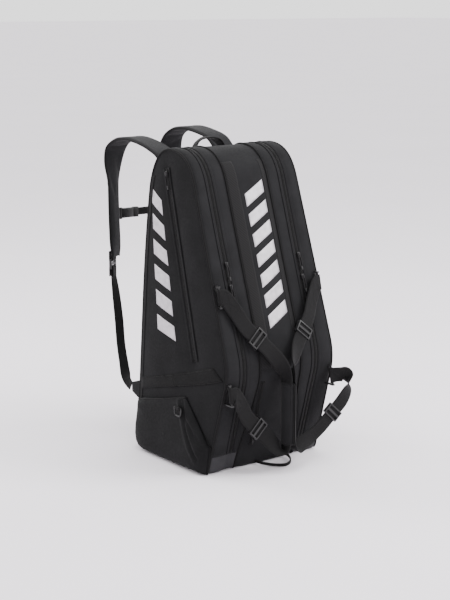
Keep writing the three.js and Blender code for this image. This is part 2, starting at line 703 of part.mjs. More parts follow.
const HAUL_SPAN = 42;
const HAUL_RISE = 30;
const HAUL_PIVOT = vec(0, 66, HEIGHT - 15);

// The grab loop behind the crown, an arch of webbing that flops on its two ends.
function haulLoop() {
  const shares = [-1, -0.96, -0.7, 0, 0.7, 0.96, 1];
  const stations = shares.map((share) => {
    const rise = HAUL_RISE * Math.sqrt(1 - Math.min(1, share * share) * 0.999);
    const tilt = 0.5 * Math.abs(share);
    return station(share * HAUL_SPAN, HAUL_PIVOT.y + 0.15 * rise, HAUL_PIVOT.z + rise, [0, 1, -tilt]);
  });
  add("haul_loop", ribbon(stations, NARROW_WEBBING, 3, 28), STRAP);
}

const BASE_LOOP = { from: -28, to: 66, reach: 60, z: 8.5 };
const BASE_LOOP_WEBBING = 8;
BASE_LOOP.y = surfaceDepth("front", BASE_LOOP.z) - 3.5;

// The pull loop at the foot of the front, which droops forward on to the floor.
function baseLoop() {
  const { from, to, reach, y, z } = BASE_LOOP;
  const width = to - from;
  const stations = [0, 0.06, 0.25, 0.5, 0.75, 0.94, 1].map((t) => {
    const bow = Math.sin(Math.PI * t) ** 0.6;
    return station(from + width * t, y - reach * bow, z - 3 * bow, [0, 0.1, 1]);
  });
  add("base_loop", ribbon(stations, BASE_LOOP_WEBBING, WEBBING_THICK, 28), STRAP);
}

// ---- Shoe pocket on the left side -------------------------------------------------------------------------

const POCKET_OUTLINE = [
  [-148, 3], [-158, 34], [-166, 62], [-84, 166], [118, 124], [128, 110], [136, 20], [132, 3],
].map(([y, z]) => new THREE.Vector2(y, z));

// A tray-like shell, open at the top: its mouth is the straight edge below the band.
function shoePocket() {
  const middle = new THREE.Vector2(-10, 70);
  const shrink = (p, share) => p.clone().lerp(middle, share);
  const ring = (x, share, lift = 0) =>
    POCKET_OUTLINE.map((p) => shrink(p, share)).map((p) => vec(x(p.y), p.x, Math.max(p.y + lift, 2)));
  const against = (z) => -halfWidth(z) - SEAM_GAP;
  const flat = (v) => new THREE.Vector2(v.y, v.z);
  const rings = [ring(against, 0), ring((z) => bulged(z) + 10, 0.01), ring(bulged, 0.07)];
  const outer = loft(rings, { capPlane: flat });
  const inner = loft(
    [
      ring((z) => against(z) + 5, 0.05, 1),
      ring((z) => bulged(z) + 10, 0.06, 1),
      ring((z) => bulged(z) + POCKET_WALL, 0.12, 1),
    ],
    { capPlane: flat },
  );
  const mouth = loft(
    [-1, 1].map((side) => [
      vec(side * 60 - 170, -40, 137),
      vec(side * 60 - 170, 112, 106),
      vec(side * 60 - 170, 118, 190),
      vec(side * 60 - 170, -40, 220),
    ]),
  );
  add("shoe_pocket", cut(outer, inner, mouth), COATED);
}

// The outside of the shoe pocket, which leans in towards its mouth.
function bulged(z) {
  return -halfWidth(z) - POCKET_BULGE + POCKET_TAPER * Math.max(0, (z - 60) / 110);
}

// A D-shaped ring on a short tab, at the mouth of the shoe pocket.
const D_RING = { y: -60, z: 146 };
const D_RING_HALF = 13;

function dRing() {
  const x = bulged(D_RING.z - 15) - SEAM_GAP;
  const tab = box(2, 22, 22, x - 1, D_RING.y, D_RING.z - 4);
  const barrel = new THREE.CylinderGeometry(3.6, 3.6, 20, 14).translate(x - 4, D_RING.y, D_RING.z);
  const bore = new THREE.CylinderGeometry(2.1, 2.1, 24, 12).translate(x - 4, D_RING.y, D_RING.z);
  add("d_ring_tab", cut(join(tab, barrel), bore), STRAP);

  const bar = new THREE.CylinderGeometry(1.6, 1.6, 2 * D_RING_HALF + 2, 10);
  const options = { steps: 16, extrudePath: bowLine(), bevelEnabled: false };
  const bow = new THREE.ExtrudeGeometry(circle(1.7, 8), options);
  add("d_ring", join(bar, bow).translate(x - 4, D_RING.y, D_RING.z), PLASTIC);
}

function circle(radius, sides) {
  const shape = new THREE.Shape();
  for (let i = 0; i < sides; i++) {
    const turn = (2 * Math.PI * i) / sides;
    const x = radius * Math.cos(turn);
    const y = radius * Math.sin(turn);
    if (i) shape.lineTo(x, y);
    else shape.moveTo(x, y);
  }
  return shape;
}

function bowLine() {
  const half = D_RING_HALF;
  const points = [[-half, 0], [-half, -9], [4 - half, -18], [half - 4, -18], [half, -9], [half, 0]];
  return new THREE.CatmullRomCurve3(points.map(([y, z]) => vec(0, y, z)));
}

// ---- Assembly ---------------------------------------------------------------------------------------------

bodyShell();
frontPocketZip();
sideCovers();
sideBand();
zipSliders();
addHandle("left", lyingLeg, 4, 14);
addHandle("right", bowedLeg, 4, 15);
shoulderStraps();
sternumStrap();
haulLoop();
baseLoop();
shoePocket();
dRing();

export default bag;
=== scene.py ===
"""A racket tournament bag: its fabric, webbing, zips and padding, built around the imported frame.

Metres, in the frame's own axes: +Z up, the front towards -Y, the shoulder straps towards +Y.
"""
import json
import math

import bmesh
import bpy
import numpy as np
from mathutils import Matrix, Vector, noise


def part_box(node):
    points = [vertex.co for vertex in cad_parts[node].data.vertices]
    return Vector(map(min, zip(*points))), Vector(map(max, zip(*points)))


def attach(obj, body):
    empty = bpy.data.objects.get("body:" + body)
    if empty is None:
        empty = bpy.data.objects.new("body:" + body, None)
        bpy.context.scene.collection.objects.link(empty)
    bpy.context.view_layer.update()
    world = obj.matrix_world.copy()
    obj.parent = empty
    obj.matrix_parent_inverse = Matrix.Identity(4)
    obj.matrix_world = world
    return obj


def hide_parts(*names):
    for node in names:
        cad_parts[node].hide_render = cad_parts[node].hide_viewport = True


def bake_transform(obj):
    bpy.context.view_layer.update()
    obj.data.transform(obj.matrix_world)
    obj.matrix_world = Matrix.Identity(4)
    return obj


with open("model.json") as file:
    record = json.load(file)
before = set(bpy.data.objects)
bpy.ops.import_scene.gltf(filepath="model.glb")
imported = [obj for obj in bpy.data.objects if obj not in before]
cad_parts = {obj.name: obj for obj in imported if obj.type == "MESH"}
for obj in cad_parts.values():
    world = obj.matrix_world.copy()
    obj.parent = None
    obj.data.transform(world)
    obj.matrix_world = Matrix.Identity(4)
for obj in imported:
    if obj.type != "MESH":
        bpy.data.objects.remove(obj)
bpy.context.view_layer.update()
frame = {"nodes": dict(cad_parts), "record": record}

# ---- Sizes that the frame's pieces share ---------------------------------------------------------

MM = 0.001
HEIGHT = 0.745
HALF_BASE = 0.165
HALF_TOP = 0.150
CENTRE_SEAM = 0.062
SEAM_FLARE = 0.028
FLARE_HEIGHT = 0.245
ZIP_LINE = 0.108
TAPE = 0.0095
GUARD_TOP = 0.045
BACK_TOP = 0.683
FLOOR_GAP = 0.0015
CLOTH = 0.0018
HINGE_GAP = 0.0004

BAR_SLANT = 0.016
HANDLE_WIDTH = 37.5 * MM
NARROW_WIDTH = 24.6 * MM
GRIP_Y, GRIP_FOOT, GRIP_TOP = -242, 66, 218

BODY = "body_shell"
SIDES = (("left", -1), ("right", 1))
NODE_BODY = {n: b for b, names in frame["record"]["behaviour"]["bodies"].items() for n in names}


def smooth(value):
    t = min(max(value, 0.0), 1.0)
    return t * t * (3 - 2 * t)


def lerp(a, b, t):
    return a + (b - a) * t


# ---- The racket silhouette -----------------------------------------------------------------------


def bezier(points, steps):
    """Points of a Bezier curve with any number of control points, without its first one."""
    made = []
    for i in range(1, steps + 1):
        row = [np.array(p, float) for p in points]
        t = i / steps
        while len(row) > 1:
            row = [a + (b - a) * t for a, b in zip(row, row[1:])]
        made.append(row[0])
    return made


def silhouette():
    """The outline (y, z) from the foot of the front, over the crown, to the foot of the back."""
    corner, crown = 14, 745
    points = [np.array([-133.0, 0.0])]
    for controls, steps in (
        ([(-133, 0), (-147, 0), (-151, corner)], 8),
        ([(-151, corner), (-207, 215)], 40),
        ([(-207, 215), (-218, 255), (-205, 295)], 16),
        ([(-205, 295), (-83, 670)], 70),
        ([(-83, 670), (-66, 722), (-35, crown), (14, crown)], 26),
        ([(14, crown), (50, crown), (78, 715), (92, 655)], 26),
        ([(92, 655), (112, 522), (122, 330)], 50),
        ([(122, 330), (140, corner)], 50),
        ([(140, corner), (142, 0), (128, 0)], 8),
    ):
        points += bezier(controls, steps)
    return np.array(points) * MM


OUTLINE = silhouette()
SEGMENTS = np.linalg.norm(np.diff(OUTLINE, axis=0), axis=1)
LENGTHS = np.concatenate([[0], np.cumsum(SEGMENTS)])
TOTAL = LENGTHS[-1]
CROWN = LENGTHS[int(np.argmax(OUTLINE[:, 1]))]


def on_outline(s):
    """The point (y, z) a length s along the outline."""
    return np.array([np.interp(s, LENGTHS, OUTLINE[:, i]) for i in (0, 1)])


def outward(s):
    """The outward direction (y, z) there, averaged over a short stretch."""
    reach = 0.006
    ahead, behind = on_outline(min(s + reach, TOTAL)), on_outline(max(s - reach, 0))
    along = (ahead - behind) / np.linalg.norm(ahead - behind)
    return np.array([-along[1], along[0]])


def length_at(side, z):
    """The length along the outline at which its front or back reaches a height."""
    part = LENGTHS <= CROWN if side == "front" else LENGTHS >= CROWN
    heights, lengths = OUTLINE[part, 1], LENGTHS[part]
    if side == "back":
        heights, lengths = heights[::-1], lengths[::-1]
    return float(np.interp(z, heights, lengths))


def depth(side, z):
    return float(on_outline(length_at(side, z))[0])


def half_width(z):
    return lerp(HALF_BASE, HALF_TOP, z / HEIGHT)


def centre_seam(s):
    """How far the seams beside the middle panel stand from the centre: they flare out towards the base."""
    if s > CROWN:
        return CENTRE_SEAM
    z = on_outline(s)[1]
    return CENTRE_SEAM + SEAM_FLARE * smooth(1 - z / FLARE_HEIGHT) ** 1.2


# ---- How the cloth stands off the walls ----------------------------------------------------------


def ripple(a, b, c, size, amount):
    """A soft wrinkle height at a place, from two layers of noise."""
    at = Vector((a, b, c)) / size
    return amount * (noise.noise(at) + 0.45 * noise.noise(at * 2.3 + Vector((7, 3, 1))))


def crown_of(u, sharp=2.6):
    """A cushion profile: 0 at both edges of a panel, 1 in its middle."""
    return 1 - abs(2 * min(max(u, 0.0), 1.0) - 1) ** sharp


def skin(x, s):
    """How far the front and crown cloth stands proud of the wall at a place."""
    z = on_outline(s)[1]
    seam, edge, ax = centre_seam(s), half_width(z), abs(x)
    if ax < seam:
        u, puff, wrinkle = (x + seam) / (2 * seam), 5.5 * MM, 1.7 * MM
    elif ax < ZIP_LINE - TAPE:
        u, puff, wrinkle = (ax - seam) / (ZIP_LINE - TAPE - seam), 2.4 * MM, 0.9 * MM
    elif ax < ZIP_LINE + TAPE:
        return 0.0
    else:
        u, puff, wrinkle = (ax - ZIP_LINE - TAPE) / (edge - ZIP_LINE - TAPE), 3.2 * MM, 1.1 * MM
    fill = crown_of(u)
    if ax < seam and z > 0.7:
        fill *= 1 - smooth((z - 0.7) / 0.03)
    return fill * (puff + ripple(x, s, 0.3, 0.07, wrinkle) + ripple(x * 0.4, s, 4, 0.025, 0.35 * wrinkle))


def front_point(x, s, lift=0.0):
    y, z = on_outline(s)
    ny, nz = outward(s)
    out = skin(x, s) + lift
    return Vector((x, y + ny * out, max(z + nz * out, FLOOR_GAP)))


# The side zip divides each side panel in two, from near the crown to the band.
ZIP_TOP = np.array([23, 701]) * MM
ZIP_FOOT = np.array([-97, 262]) * MM
SIDE_ZIP = ZIP_FOOT - ZIP_TOP


def from_side_zip(y, z):
    """The distance of a place on the side from the zip's line, and how far down the zip it is, from 0 to 1."""
    p = np.array([y, z]) - ZIP_TOP
    t = float(p @ SIDE_ZIP / (SIDE_ZIP @ SIDE_ZIP))
    return float(np.linalg.norm(p - SIDE_ZIP * min(max(t, 0), 1))), t


def from_edge(y, z):
    return float(np.min(np.hypot(OUTLINE[:, 0] - y, OUTLINE[:, 1] - z)))


def side_puff(y, z):
    """How far the side panel's cloth stands proud of its wall."""
    edge, (zip_gap, _) = from_edge(y, z), from_side_zip(y, z)
    fill = (1 - math.exp(-edge / 0.045)) * (1 - math.exp(-zip_gap / 0.03))
    wave = ripple(y, z * 0.6, 2.0, 0.09, 2.6 * MM) + ripple(y, z, 6.0, 0.04, 0.7 * MM)
    return fill * (8.5 * MM + wave)


def side_point(sign, y, z, lift=0.0):
    return Vector((sign * (half_width(z) + side_puff(y, z) + lift), y, z))


# ---- Mesh helpers --------------------------------------------------------------------------------


def link(name, mesh):
    obj = bpy.data.objects.new(name, mesh)
    bpy.context.scene.collection.objects.link(obj)
    return obj


def mesh_object(name, points, faces, cloth_uv=None):
    mesh = bpy.data.meshes.new(name)
    mesh.from_pydata([tuple(p) for p in points], [], faces)
    if cloth_uv is not None:
        layer = mesh.attributes.new("cloth_uv", "FLOAT_VECTOR", "POINT")
        layer.data.foreach_set("vector", np.array(cloth_uv, np.float32).ravel())
    for polygon in mesh.polygons:
        polygon.use_smooth = True
    return link(name, mesh)


def grid(name, rows, closed_rows=False, closed_columns=False, cloth_uv=None, caps=False):
    """A mesh through rows of points, each row with the same number of them."""
    count, wide = len(rows), len(rows[0])
    points = [p for row in rows for p in row]
    faces = []
    for i in range(count if closed_rows else count - 1):
        for j in range(wide if closed_columns else wide - 1):
            a, b = i * wide, ((i + 1) % count) * wide
            k = (j + 1) % wide
            faces.append((a + j, a + k, b + k, b + j))
    if caps:
        faces.append(tuple(range(wide))[::-1])
        faces.append(tuple(range((count - 1) * wide, count * wide)))
    uv = [p for row in cloth_uv for p in row] if cloth_uv else None
    return mesh_object(name, points, faces, uv)


def face_out(obj):
    bm = bmesh.new()
    bm.from_mesh(obj.data)
    bmesh.ops.recalc_face_normals(bm, faces=bm.faces)
    bm.to_mesh(obj.data)
    bm.free()
    return obj


def apply_all(obj):
    """Puts what the object's modifiers make into its mesh."""
    bpy.context.view_layer.update()
    made = bpy.data.meshes.new_from_object(obj.evaluated_get(bpy.context.evaluated_depsgraph_get()))
    obj.modifiers.clear()
    old, obj.data = obj.data, made
    bpy.data.meshes.remove(old)
    return obj


def subdivide(obj, levels=1):
    made = obj.modifiers.new("fine", "SUBSURF")
    made.levels = made.render_levels = levels
    return apply_all(obj)


def bevel(obj, width, segments=2, angle=35):
    made = obj.modifiers.new("bevel", "BEVEL")
    made.width, made.segments = width, segments
    made.limit_method, made.angle_limit = "ANGLE", math.radians(angle)
    return apply_all(obj)


def join(name, objects):
    """One object from several, each with its own materials and cloth coordinates."""
    points, faces, uv, slots, materials = [], [], [], [], []
    for obj in objects:
        part, start = obj.data, len(points)
        points += [tuple(v.co) for v in part.vertices]
        faces += [tuple(start + i for i in p.vertices) for p in part.polygons]
        layer = part.attributes.get("cloth_uv")
        uv += [tuple(d.vector) for d in layer.data] if layer else [tuple(v.co) for v in part.vertices]
        for material in part.materials:
            if material not in materials:
                materials.append(material)
        own = [materials.index(m) for m in part.materials] or [0]
        slots += [own[min(p.material_index, len(own) - 1)] for p in part.polygons]
        bpy.data.objects.remove(obj)
    made = mesh_object(name, points, faces, uv)
    for material in materials:
        made.data.materials.append(material)
    made.data.polygons.foreach_set("material_index", slots)
    return made


def paint(obj, material):
    obj.data.materials.clear()
    obj.data.materials.append(material)
    return obj


def place(obj, body, slot, *nodes):
    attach(obj, body)
    if nodes:
        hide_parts(*nodes)
    return obj


def tube(name, line, radius, sides=10, closed=False):
    """A round tube along a line of points."""
    line = [Vector(p) for p in line]
    rows, uv = [], []
    side, travelled = None, 0.0
    for i, p in enumerate(line):
        before = line[i - 1] if (i or closed) else p
        after = line[(i + 1) % len(line)] if (i < len(line) - 1 or closed) else p
        along = (after - before).normalized()
        if side is None:
            side = along.orthogonal().normalized()
        side = (side - along * side.dot(along)).normalized()
        up = along.cross(side)
        travelled += (p - line[i - 1]).length if i else 0
        turns = [2 * math.pi * k / sides for k in range(sides)]
        rows.append([p + side * (radius * math.cos(t)) + up * (radius * math.sin(t)) for t in turns])
        uv.append([(radius * t, travelled, 0) for t in turns])
    return face_out(grid(name, rows, closed_rows=closed, closed_columns=True, cloth_uv=uv, caps=not closed))


def catmull(points, t):
    """A point of a centripetal Catmull-Rom curve through points, at t from 0 to 1."""
    last = len(points) - 1
    place_at = min(t, 1.0) * last
    i = min(int(place_at), last - 1)
    w = place_at - i
    p1, p2 = points[i], points[i + 1]
    p0 = points[i - 1] if i else p1 * 2 - p2
    p3 = points[i + 2] if i + 2 <= last else p2 * 2 - p1
    d0, d1, d2 = ((a - b).length ** 0.5 for a, b in ((p0, p1), (p1, p2), (p2, p3)))
    d1 = d1 if d1 > 1e-4 else 1.0
    d0, d2 = (d if d > 1e-4 else d1 for d in (d0, d2))
    t1 = ((p1 - p0) / d0 - (p2 - p0) / (d0 + d1) + (p2 - p1) / d1) * d1
    t2 = ((p2 - p1) / d1 - (p3 - p1) / (d1 + d2) + (p3 - p2) / d2) * d1
    c2, c3 = (p2 - p1) * 3 - t1 * 2 - t2, (p1 - p2) * 2 + t1 + t2
    return p1 + t1 * w + c2 * (w * w) + c3 * (w * w * w)


def stations(rows, sign=-1):
    """Stations (x, y, z, across) in millimetres of the left side, as points and directions of one side."""
    flip = Vector((-sign, 1, 1))
    at = [Vector(r[:3]) * flip * MM for r in rows]
    across = [Vector(r[3]) * flip for r in rows]
    return at, across


def ribbon_frames(at, across, steps):
    """Centre, across and facing directions at even steps of a strip that follows stations."""
    frames, travelled, before = [], 0.0, None
    for i in range(steps + 1):
        t = i / steps
        p = catmull(at, t)
        along = (catmull(at, min(t + 1e-3, 1)) - catmull(at, max(t - 1e-3, 0))).normalized()
        side = catmull(across, t)
        side = (side - along * side.dot(along)).normalized()
        travelled += (p - before).length if before else 0
        before = p
        frames.append((p, side, along.cross(side).normalized(), travelled))
    return frames


def ribbon(name, frames, width, thick, columns=8, curl=0.0):
    """Webbing along frames, with softly rounded edges. curl bows it across its width.

    width and thick are numbers, or functions of the length travelled.
    """
    rows, uv = [], []
    for p, side, facing, travelled in frames:
        wide = width(travelled) if callable(width) else width
        deep = thick(travelled) if callable(thick) else thick
        ring, marks = [], []
        for face in (1, -1):
            for j in range(columns + 1):
                u = (j / columns * 2 - 1) * face
                half = wide / 2 - deep * 0.18
                bow = curl * (1 - u * u)
                ring.append(p + side * (u * half) + facing * (face * deep / 2 + bow))
                marks.append((u * wide / 2, travelled, 0))
            ring.append(p + side * (face * wide / 2))
            marks.append((face * wide / 2, travelled, 0))
        rows.append(ring)
        uv.append(marks)
    return face_out(grid(name, rows, closed_columns=True, cloth_uv=uv, caps=True))


STITCH = 2.6 * MM
STITCH_GAP = 1.3 * MM
THREAD = 0.42 * MM


def stitches(name, lines):
    """Rows of thread along lines of (point, outward direction)."""
    points, faces = [], []
    for line in lines:
        spots = [Vector(p) for p, _ in line]
        outs = [Vector(n) for _, n in line]
        lengths = np.concatenate([[0], np.cumsum([(b - a).length for a, b in zip(spots, spots[1:])])])
        count = int(lengths[-1] / (STITCH + STITCH_GAP))
        coordinates = np.array([tuple(p) for p in spots])
        normals = np.array([tuple(n) for n in outs])
        at = lambda d: Vector([np.interp(d, lengths, coordinates[:, k]) for k in range(3)])
        out_at = lambda d: Vector([np.interp(d, lengths, normals[:, k]) for k in range(3)])
        for i in range(count):
            start = i * (STITCH + STITCH_GAP)
            a, b = at(start), at(start + STITCH)
            along = (b - a).normalized()
            out = out_at(start).normalized()
            side = along.cross(out).normalized() * THREAD
            lift = out * THREAD * 1.1
            base = len(points)
            for end, pull in ((a, 0.35), (a.lerp(b, 0.5), 1.0), (b, 0.35)):
                top = end + lift * pull
                points += [end - side * 0.8, top - side * 0.5, top + side * 0.5, end + side * 0.8]
            for k in (0, 4):
                for j in range(4):
                    q = (j + 1) % 4
                    faces.append((base + k + j, base + k + q, base + k + 4 + q, base + k + 4 + j))
            faces.append((base + 3, base + 2, base + 1, base))
            faces.append((base + 8, base + 9, base + 10, base + 11))
    return face_out(mesh_object(name, points, faces))


# ---- Materials -----------------------------------------------------------------------------------


class Finish:
    """A material whose colour, roughness and relief come from nodes."""

    def __init__(self, name, sheen=0.0, metallic=0.0, specular=0.5, on_cloth=True):
        self.material = bpy.data.materials.new(name)
        self.material.use_nodes = True
        self.nodes, self.links = self.material.node_tree.nodes, self.material.node_tree.links
        self.surface = self.nodes["Principled BSDF"]
        for socket, value in (
            ("Metallic", metallic), ("Specular IOR Level", specular),
            ("Sheen Weight", sheen), ("Sheen Roughness", 0.45),
        ):
            self.surface.inputs[socket].default_value = value
        if on_cloth:
            place_on = self.nodes.new("ShaderNodeAttribute")
            place_on.attribute_name = "cloth_uv"
            self.at = place_on.outputs["Vector"]
        else:
            self.at = self.nodes.new("ShaderNodeTexCoord").outputs["Object"]

    def wave(self, pitch, direction="X"):
        node = self.nodes.new("ShaderNodeTexWave")
        node.bands_direction = direction
        node.inputs["Scale"].default_value = math.pi / (10 * pitch)
        self.links.new(self.at, node.inputs["Vector"])
        return node.outputs["Fac"]

    def noise(self, size, detail=3.0):
        node = self.nodes.new("ShaderNodeTexNoise")
        node.inputs["Scale"].default_value = 1 / size
        node.inputs["Detail"].default_value = detail
        self.links.new(self.at, node.inputs["Vector"])
        return node.outputs["Fac"]

    def sum(self, *parts):
        """The weighted sum of (weight, value) pairs."""
        total = None
        for weight, value in parts:
            node = self.nodes.new("ShaderNodeMath")
            node.operation = "MULTIPLY_ADD"
            node.inputs[1].default_value = weight
            self.links.new(value, node.inputs[0])
            if total is None:
                node.inputs[2].default_value = 0.0
            else:
                self.links.new(total, node.inputs[2])
            total = node.outputs[0]
        return total

    def times(self, a, b):
        node = self.nodes.new("ShaderNodeMath")
        node.operation = "MULTIPLY"
        self.links.new(a, node.inputs[0])
        self.links.new(b, node.inputs[1])
        return node.outputs[0]

    def ramp(self, value, low, high, start=0.3, end=0.7):
        node = self.nodes.new("ShaderNodeValToRGB")
        for stop, position, shade in zip(node.color_ramp.elements, (start, end), (low, high)):
            stop.position = position
            stop.color = (*shade, 1)
        self.links.new(value, node.inputs[0])
        return node.outputs[0]

    def colour(self, value, dark, light, start=0.3, end=0.7):
        self.links.new(self.ramp(value, dark, light, start, end), self.surface.inputs["Base Color"])

    def rough(self, value, low, high):
        self.links.new(self.ramp(value, (low,) * 3, (high,) * 3), self.surface.inputs["Roughness"])

    def relief(self, height, distance):
        node = self.nodes.new("ShaderNodeBump")
        node.inputs["Distance"].default_value = distance
        self.links.new(height, node.inputs["Height"])
        self.links.new(node.outputs[0], self.surface.inputs["Normal"])


def grey(value, warm=0.0):
    return (value * (1.02 + warm), value * 0.97, value * (1.03 - warm))


def woven(name, dark, light, pitch=1.1, depth=0.12, sheen=0.3, rough=0.8, patina=0.06, warm=-0.03):
    """A plain weave: crossing threads, uneven yarn and a broad, slight change of tone."""
    f = Finish(name, sheen=sheen, specular=0.09)
    weave = f.times(f.wave(pitch * MM, "X"), f.wave(pitch * MM, "Y"))
    yarn, broad = f.noise(5 * pitch * MM, 2), f.noise(patina, 4)
    f.colour(f.sum((0.55, broad), (0.25, yarn), (0.2, weave)), grey(dark, warm), grey(light, warm))
    f.rough(yarn, rough - 0.08, rough + 0.1)
    f.relief(f.sum((0.7, weave), (0.5, yarn)), depth * MM)
    return f.material


def ribbed(name, dark, light, along=1.5, cross=1.1, depth=0.22, direction="X", sheen=0.25):
    """Webbing: ribs along its length, crossed by the picks of the weave."""
    f = Finish(name, sheen=sheen, specular=0.1)
    ribs, picks = f.wave(along * MM, direction), f.wave(cross * MM, "Y")
    yarn = f.noise(4 * MM, 2)
    f.colour(f.sum((0.35, ribs), (0.2, picks), (0.45, yarn)), grey(dark), grey(light))
    f.rough(yarn, 0.62, 0.85)
    f.relief(f.sum((0.7, ribs), (0.35, picks), (0.2, yarn)), depth * MM)
    return f.material


def moulded(name, dark, light, rough=0.42, metallic=0.0, grain=0.5, depth=0.05, specular=0.5):
    """Plastic or painted metal with a fine spark-eroded grain and rubbed patches."""
    f = Finish(name, metallic=metallic, specular=specular, on_cloth=False)
    fine, rubbed = f.noise(grain * MM, 2), f.noise(9 * MM, 4)
    f.colour(f.sum((0.25, fine), (0.75, rubbed)), grey(dark), grey(light))
    f.rough(rubbed, rough - 0.1, rough + 0.14)
    f.relief(fine, depth * MM)
    return f.material


SHELL = woven("shell_polyester", 0.0072, 0.0142, pitch=1.2, depth=0.14, sheen=0.02)
# The shell's polyester again, painted darker for the side panels: painted shade on the sides.
SHADED_SIDE_SHELL = woven("side_polyester_painted_shade", 0.0043, 0.0090, pitch=1.2, depth=0.14, sheen=0.015)
COATED = woven("coated_canvas", 0.024, 0.036, pitch=1.6, depth=0.2, sheen=0.02, rough=0.6)
POCKET_CANVAS = woven("pocket_canvas", 0.0040, 0.0082, pitch=1.4, depth=0.16, sheen=0.015, rough=0.72)
LINING = woven("lining_cloth", 0.02, 0.032, pitch=0.8, depth=0.06, sheen=0.05, rough=0.7)
STRAP_CLOTH = woven("strap_polyester", 0.010, 0.019, pitch=1.3, depth=0.16, sheen=0.04)
GRIP_CLOTH = woven("grip_neoprene", 0.007, 0.013, pitch=0.7, depth=0.05, sheen=0.05, rough=0.85)
TAPE_CLOTH = ribbed("zip_tape_cloth", 0.004, 0.009, along=0.9, cross=0.9, depth=0.08, sheen=0.02)
WEBBING = ribbed("nylon_webbing", 0.0035, 0.0085, sheen=0.03)
BAND_WEBBING = ribbed("band_webbing", 0.0016, 0.0042, along=2.2, cross=1.4, sheen=0.01)
BINDING = ribbed("edge_binding", 0.0028, 0.0065, along=0.8, cross=1.0, depth=0.1, sheen=0.02)
HATCHED = ribbed(
    "hatched_print", 0.0030, 0.0150, along=3.4, cross=1.2, depth=0.05, direction="DIAGONAL", sheen=0.02,
)
THREAD_CLOTH = ribbed("sewing_thread", 0.013, 0.024, along=0.4, cross=0.6, depth=0.05, sheen=0.03)
PLASTIC = moulded("acetal_hardware", 0.006, 0.013, rough=0.38, specular=0.35)
TEETH = moulded("zip_coil", 0.003, 0.007, rough=0.45, grain=0.3, specular=0.22)
SLIDER_METAL = moulded("slider_blackened", 0.012, 0.03, rough=0.34, metallic=0.6)
CORD = ribbed("pull_cord", 0.008, 0.018, along=1.0, cross=1.0, depth=0.15, sheen=0.05)


def mesh_fabric():
    """Air mesh: rows of small holes over a darker ground."""
    f = Finish("air_mesh", sheen=0.05, specular=0.3)
    holes = f.times(f.wave(3.0 * MM, "X"), f.wave(3.0 * MM, "Y"))
    yarn = f.noise(3 * MM, 2)
    f.colour(f.sum((0.8, holes), (0.2, yarn)), grey(0.003), grey(0.016), 0.25, 0.6)
    f.rough(yarn, 0.75, 0.95)
    f.relief(f.sum((0.9, holes), (0.2, yarn)), 0.5 * MM)
    return f.material


def silver_print():
    """A printed silver film that has taken the weave beneath it."""
    f = Finish("silver_film", metallic=0.35, specular=0.5)
    weave = f.times(f.wave(1.2 * MM, "X"), f.wave(1.2 * MM, "Y"))
    wear = f.noise(14 * MM, 5)
    f.colour(f.sum((0.15, weave), (0.85, wear)), grey(0.34), grey(0.50), 0.25, 0.6)
    f.rough(wear, 0.36, 0.5)
    f.relief(weave, 0.08 * MM)
    return f.material


def floor_paper():
    f = Finish("studio_floor", specular=0.2, on_cloth=False)
    tone = f.noise(0.8, 2)
    f.colour(tone, grey(0.86), grey(0.88))
    f.rough(tone, 0.75, 0.85)
    return f.material


MESH_CLOTH = mesh_fabric()
SILVER = silver_print()

# ---- Cloth shapes --------------------------------------------------------------------------------

FOOT = length_at("front", 0.004)
GUARD_S = length_at("front", GUARD_TOP)
BACK_S = length_at("back", BACK_TOP)


def spread(a, b, step):
    return np.linspace(a, b, max(2, int(abs(b - a) / step) + 1))


def cloth(obj, outer, inner, out_of, thickness=CLOTH):
    """Paints a sheet and gives it thickness, with the lining on its inner face."""
    paint(obj, outer)
    obj.data.materials.append(inner)
    normal = sum((p.normal * p.area for p in obj.data.polygons), Vector())
    if normal.dot(Vector(out_of)) < 0:
        obj.data.flip_normals()
    made = obj.modifiers.new("thickness", "SOLIDIFY")
    made.thickness, made.offset = thickness, -1.0
    made.use_even_offset = False
    made.material_offset = 1
    return apply_all(obj)


def front_strip(
    name, x_from, x_to, s_from, s_to, columns, outer, inner=LINING, lift=0.0, thickness=CLOTH, step=0.008,
):
    """A panel over the front and crown, between two edges that are functions of the length along it."""
    rows, uv = [], []
    for s in spread(s_from, s_to, step):
        a, b = x_from(s), x_to(s)
        xs = [lerp(a, b, j / columns) for j in range(columns + 1)]
        rows.append([front_point(x, s, lift) for x in xs])
        uv.append([(x, s, 0) for x in xs])
    return cloth(grid(name, rows, cloth_uv=uv), outer, inner, (0, -1, 0.6), thickness)


def at_front(x, lift=1.0 * MM):
    """A line over the front at a fixed x, or at the x that a function gives."""
    place_x = x if callable(x) else (lambda s: x)
    return lambda s: front_point(place_x(s), s, lift)


def front_line(x, s_from, s_to, lift=1.0 * MM, step=0.006):
    line = at_front(x, lift)
    return [line(s) for s in spread(s_from, s_to, step)]


def sewn_front(x, s_from, s_to, lift=0.3 * MM):
    place_x = x if callable(x) else (lambda s: x)
    return [(front_point(place_x(s), s, lift), (0, *outward(s))) for s in spread(s_from, s_to, 0.006)]


def thread(name, body, lines, slot="stitching"):
    return place(paint(stitches(name, lines), THREAD_CLOTH), body, slot)


def beads(name, places, size):
    """Many small blocks, each at (point, along, across, out)."""
    points, faces = [], []
    for at, along, across, out in places:
        base = len(points)
        for c in (-1, 1):
            shrink = 1.0 if c < 0 else 0.7
            for a, b in ((-1, -1), (1, -1), (1, 1), (-1, 1)):
                corner = at + along * (a * size[0] / 2 * shrink) + across * (b * size[1] / 2)
                points.append(corner + out * (c * size[2] / 2))
        faces += [(base, base + 3, base + 2, base + 1), (base + 4, base + 5, base + 6, base + 7)]
        faces += [(base + i, base + (i + 1) % 4, base + 4 + (i + 1) % 4, base + 4 + i) for i in range(4)]
    return face_out(mesh_object(name, points, faces))


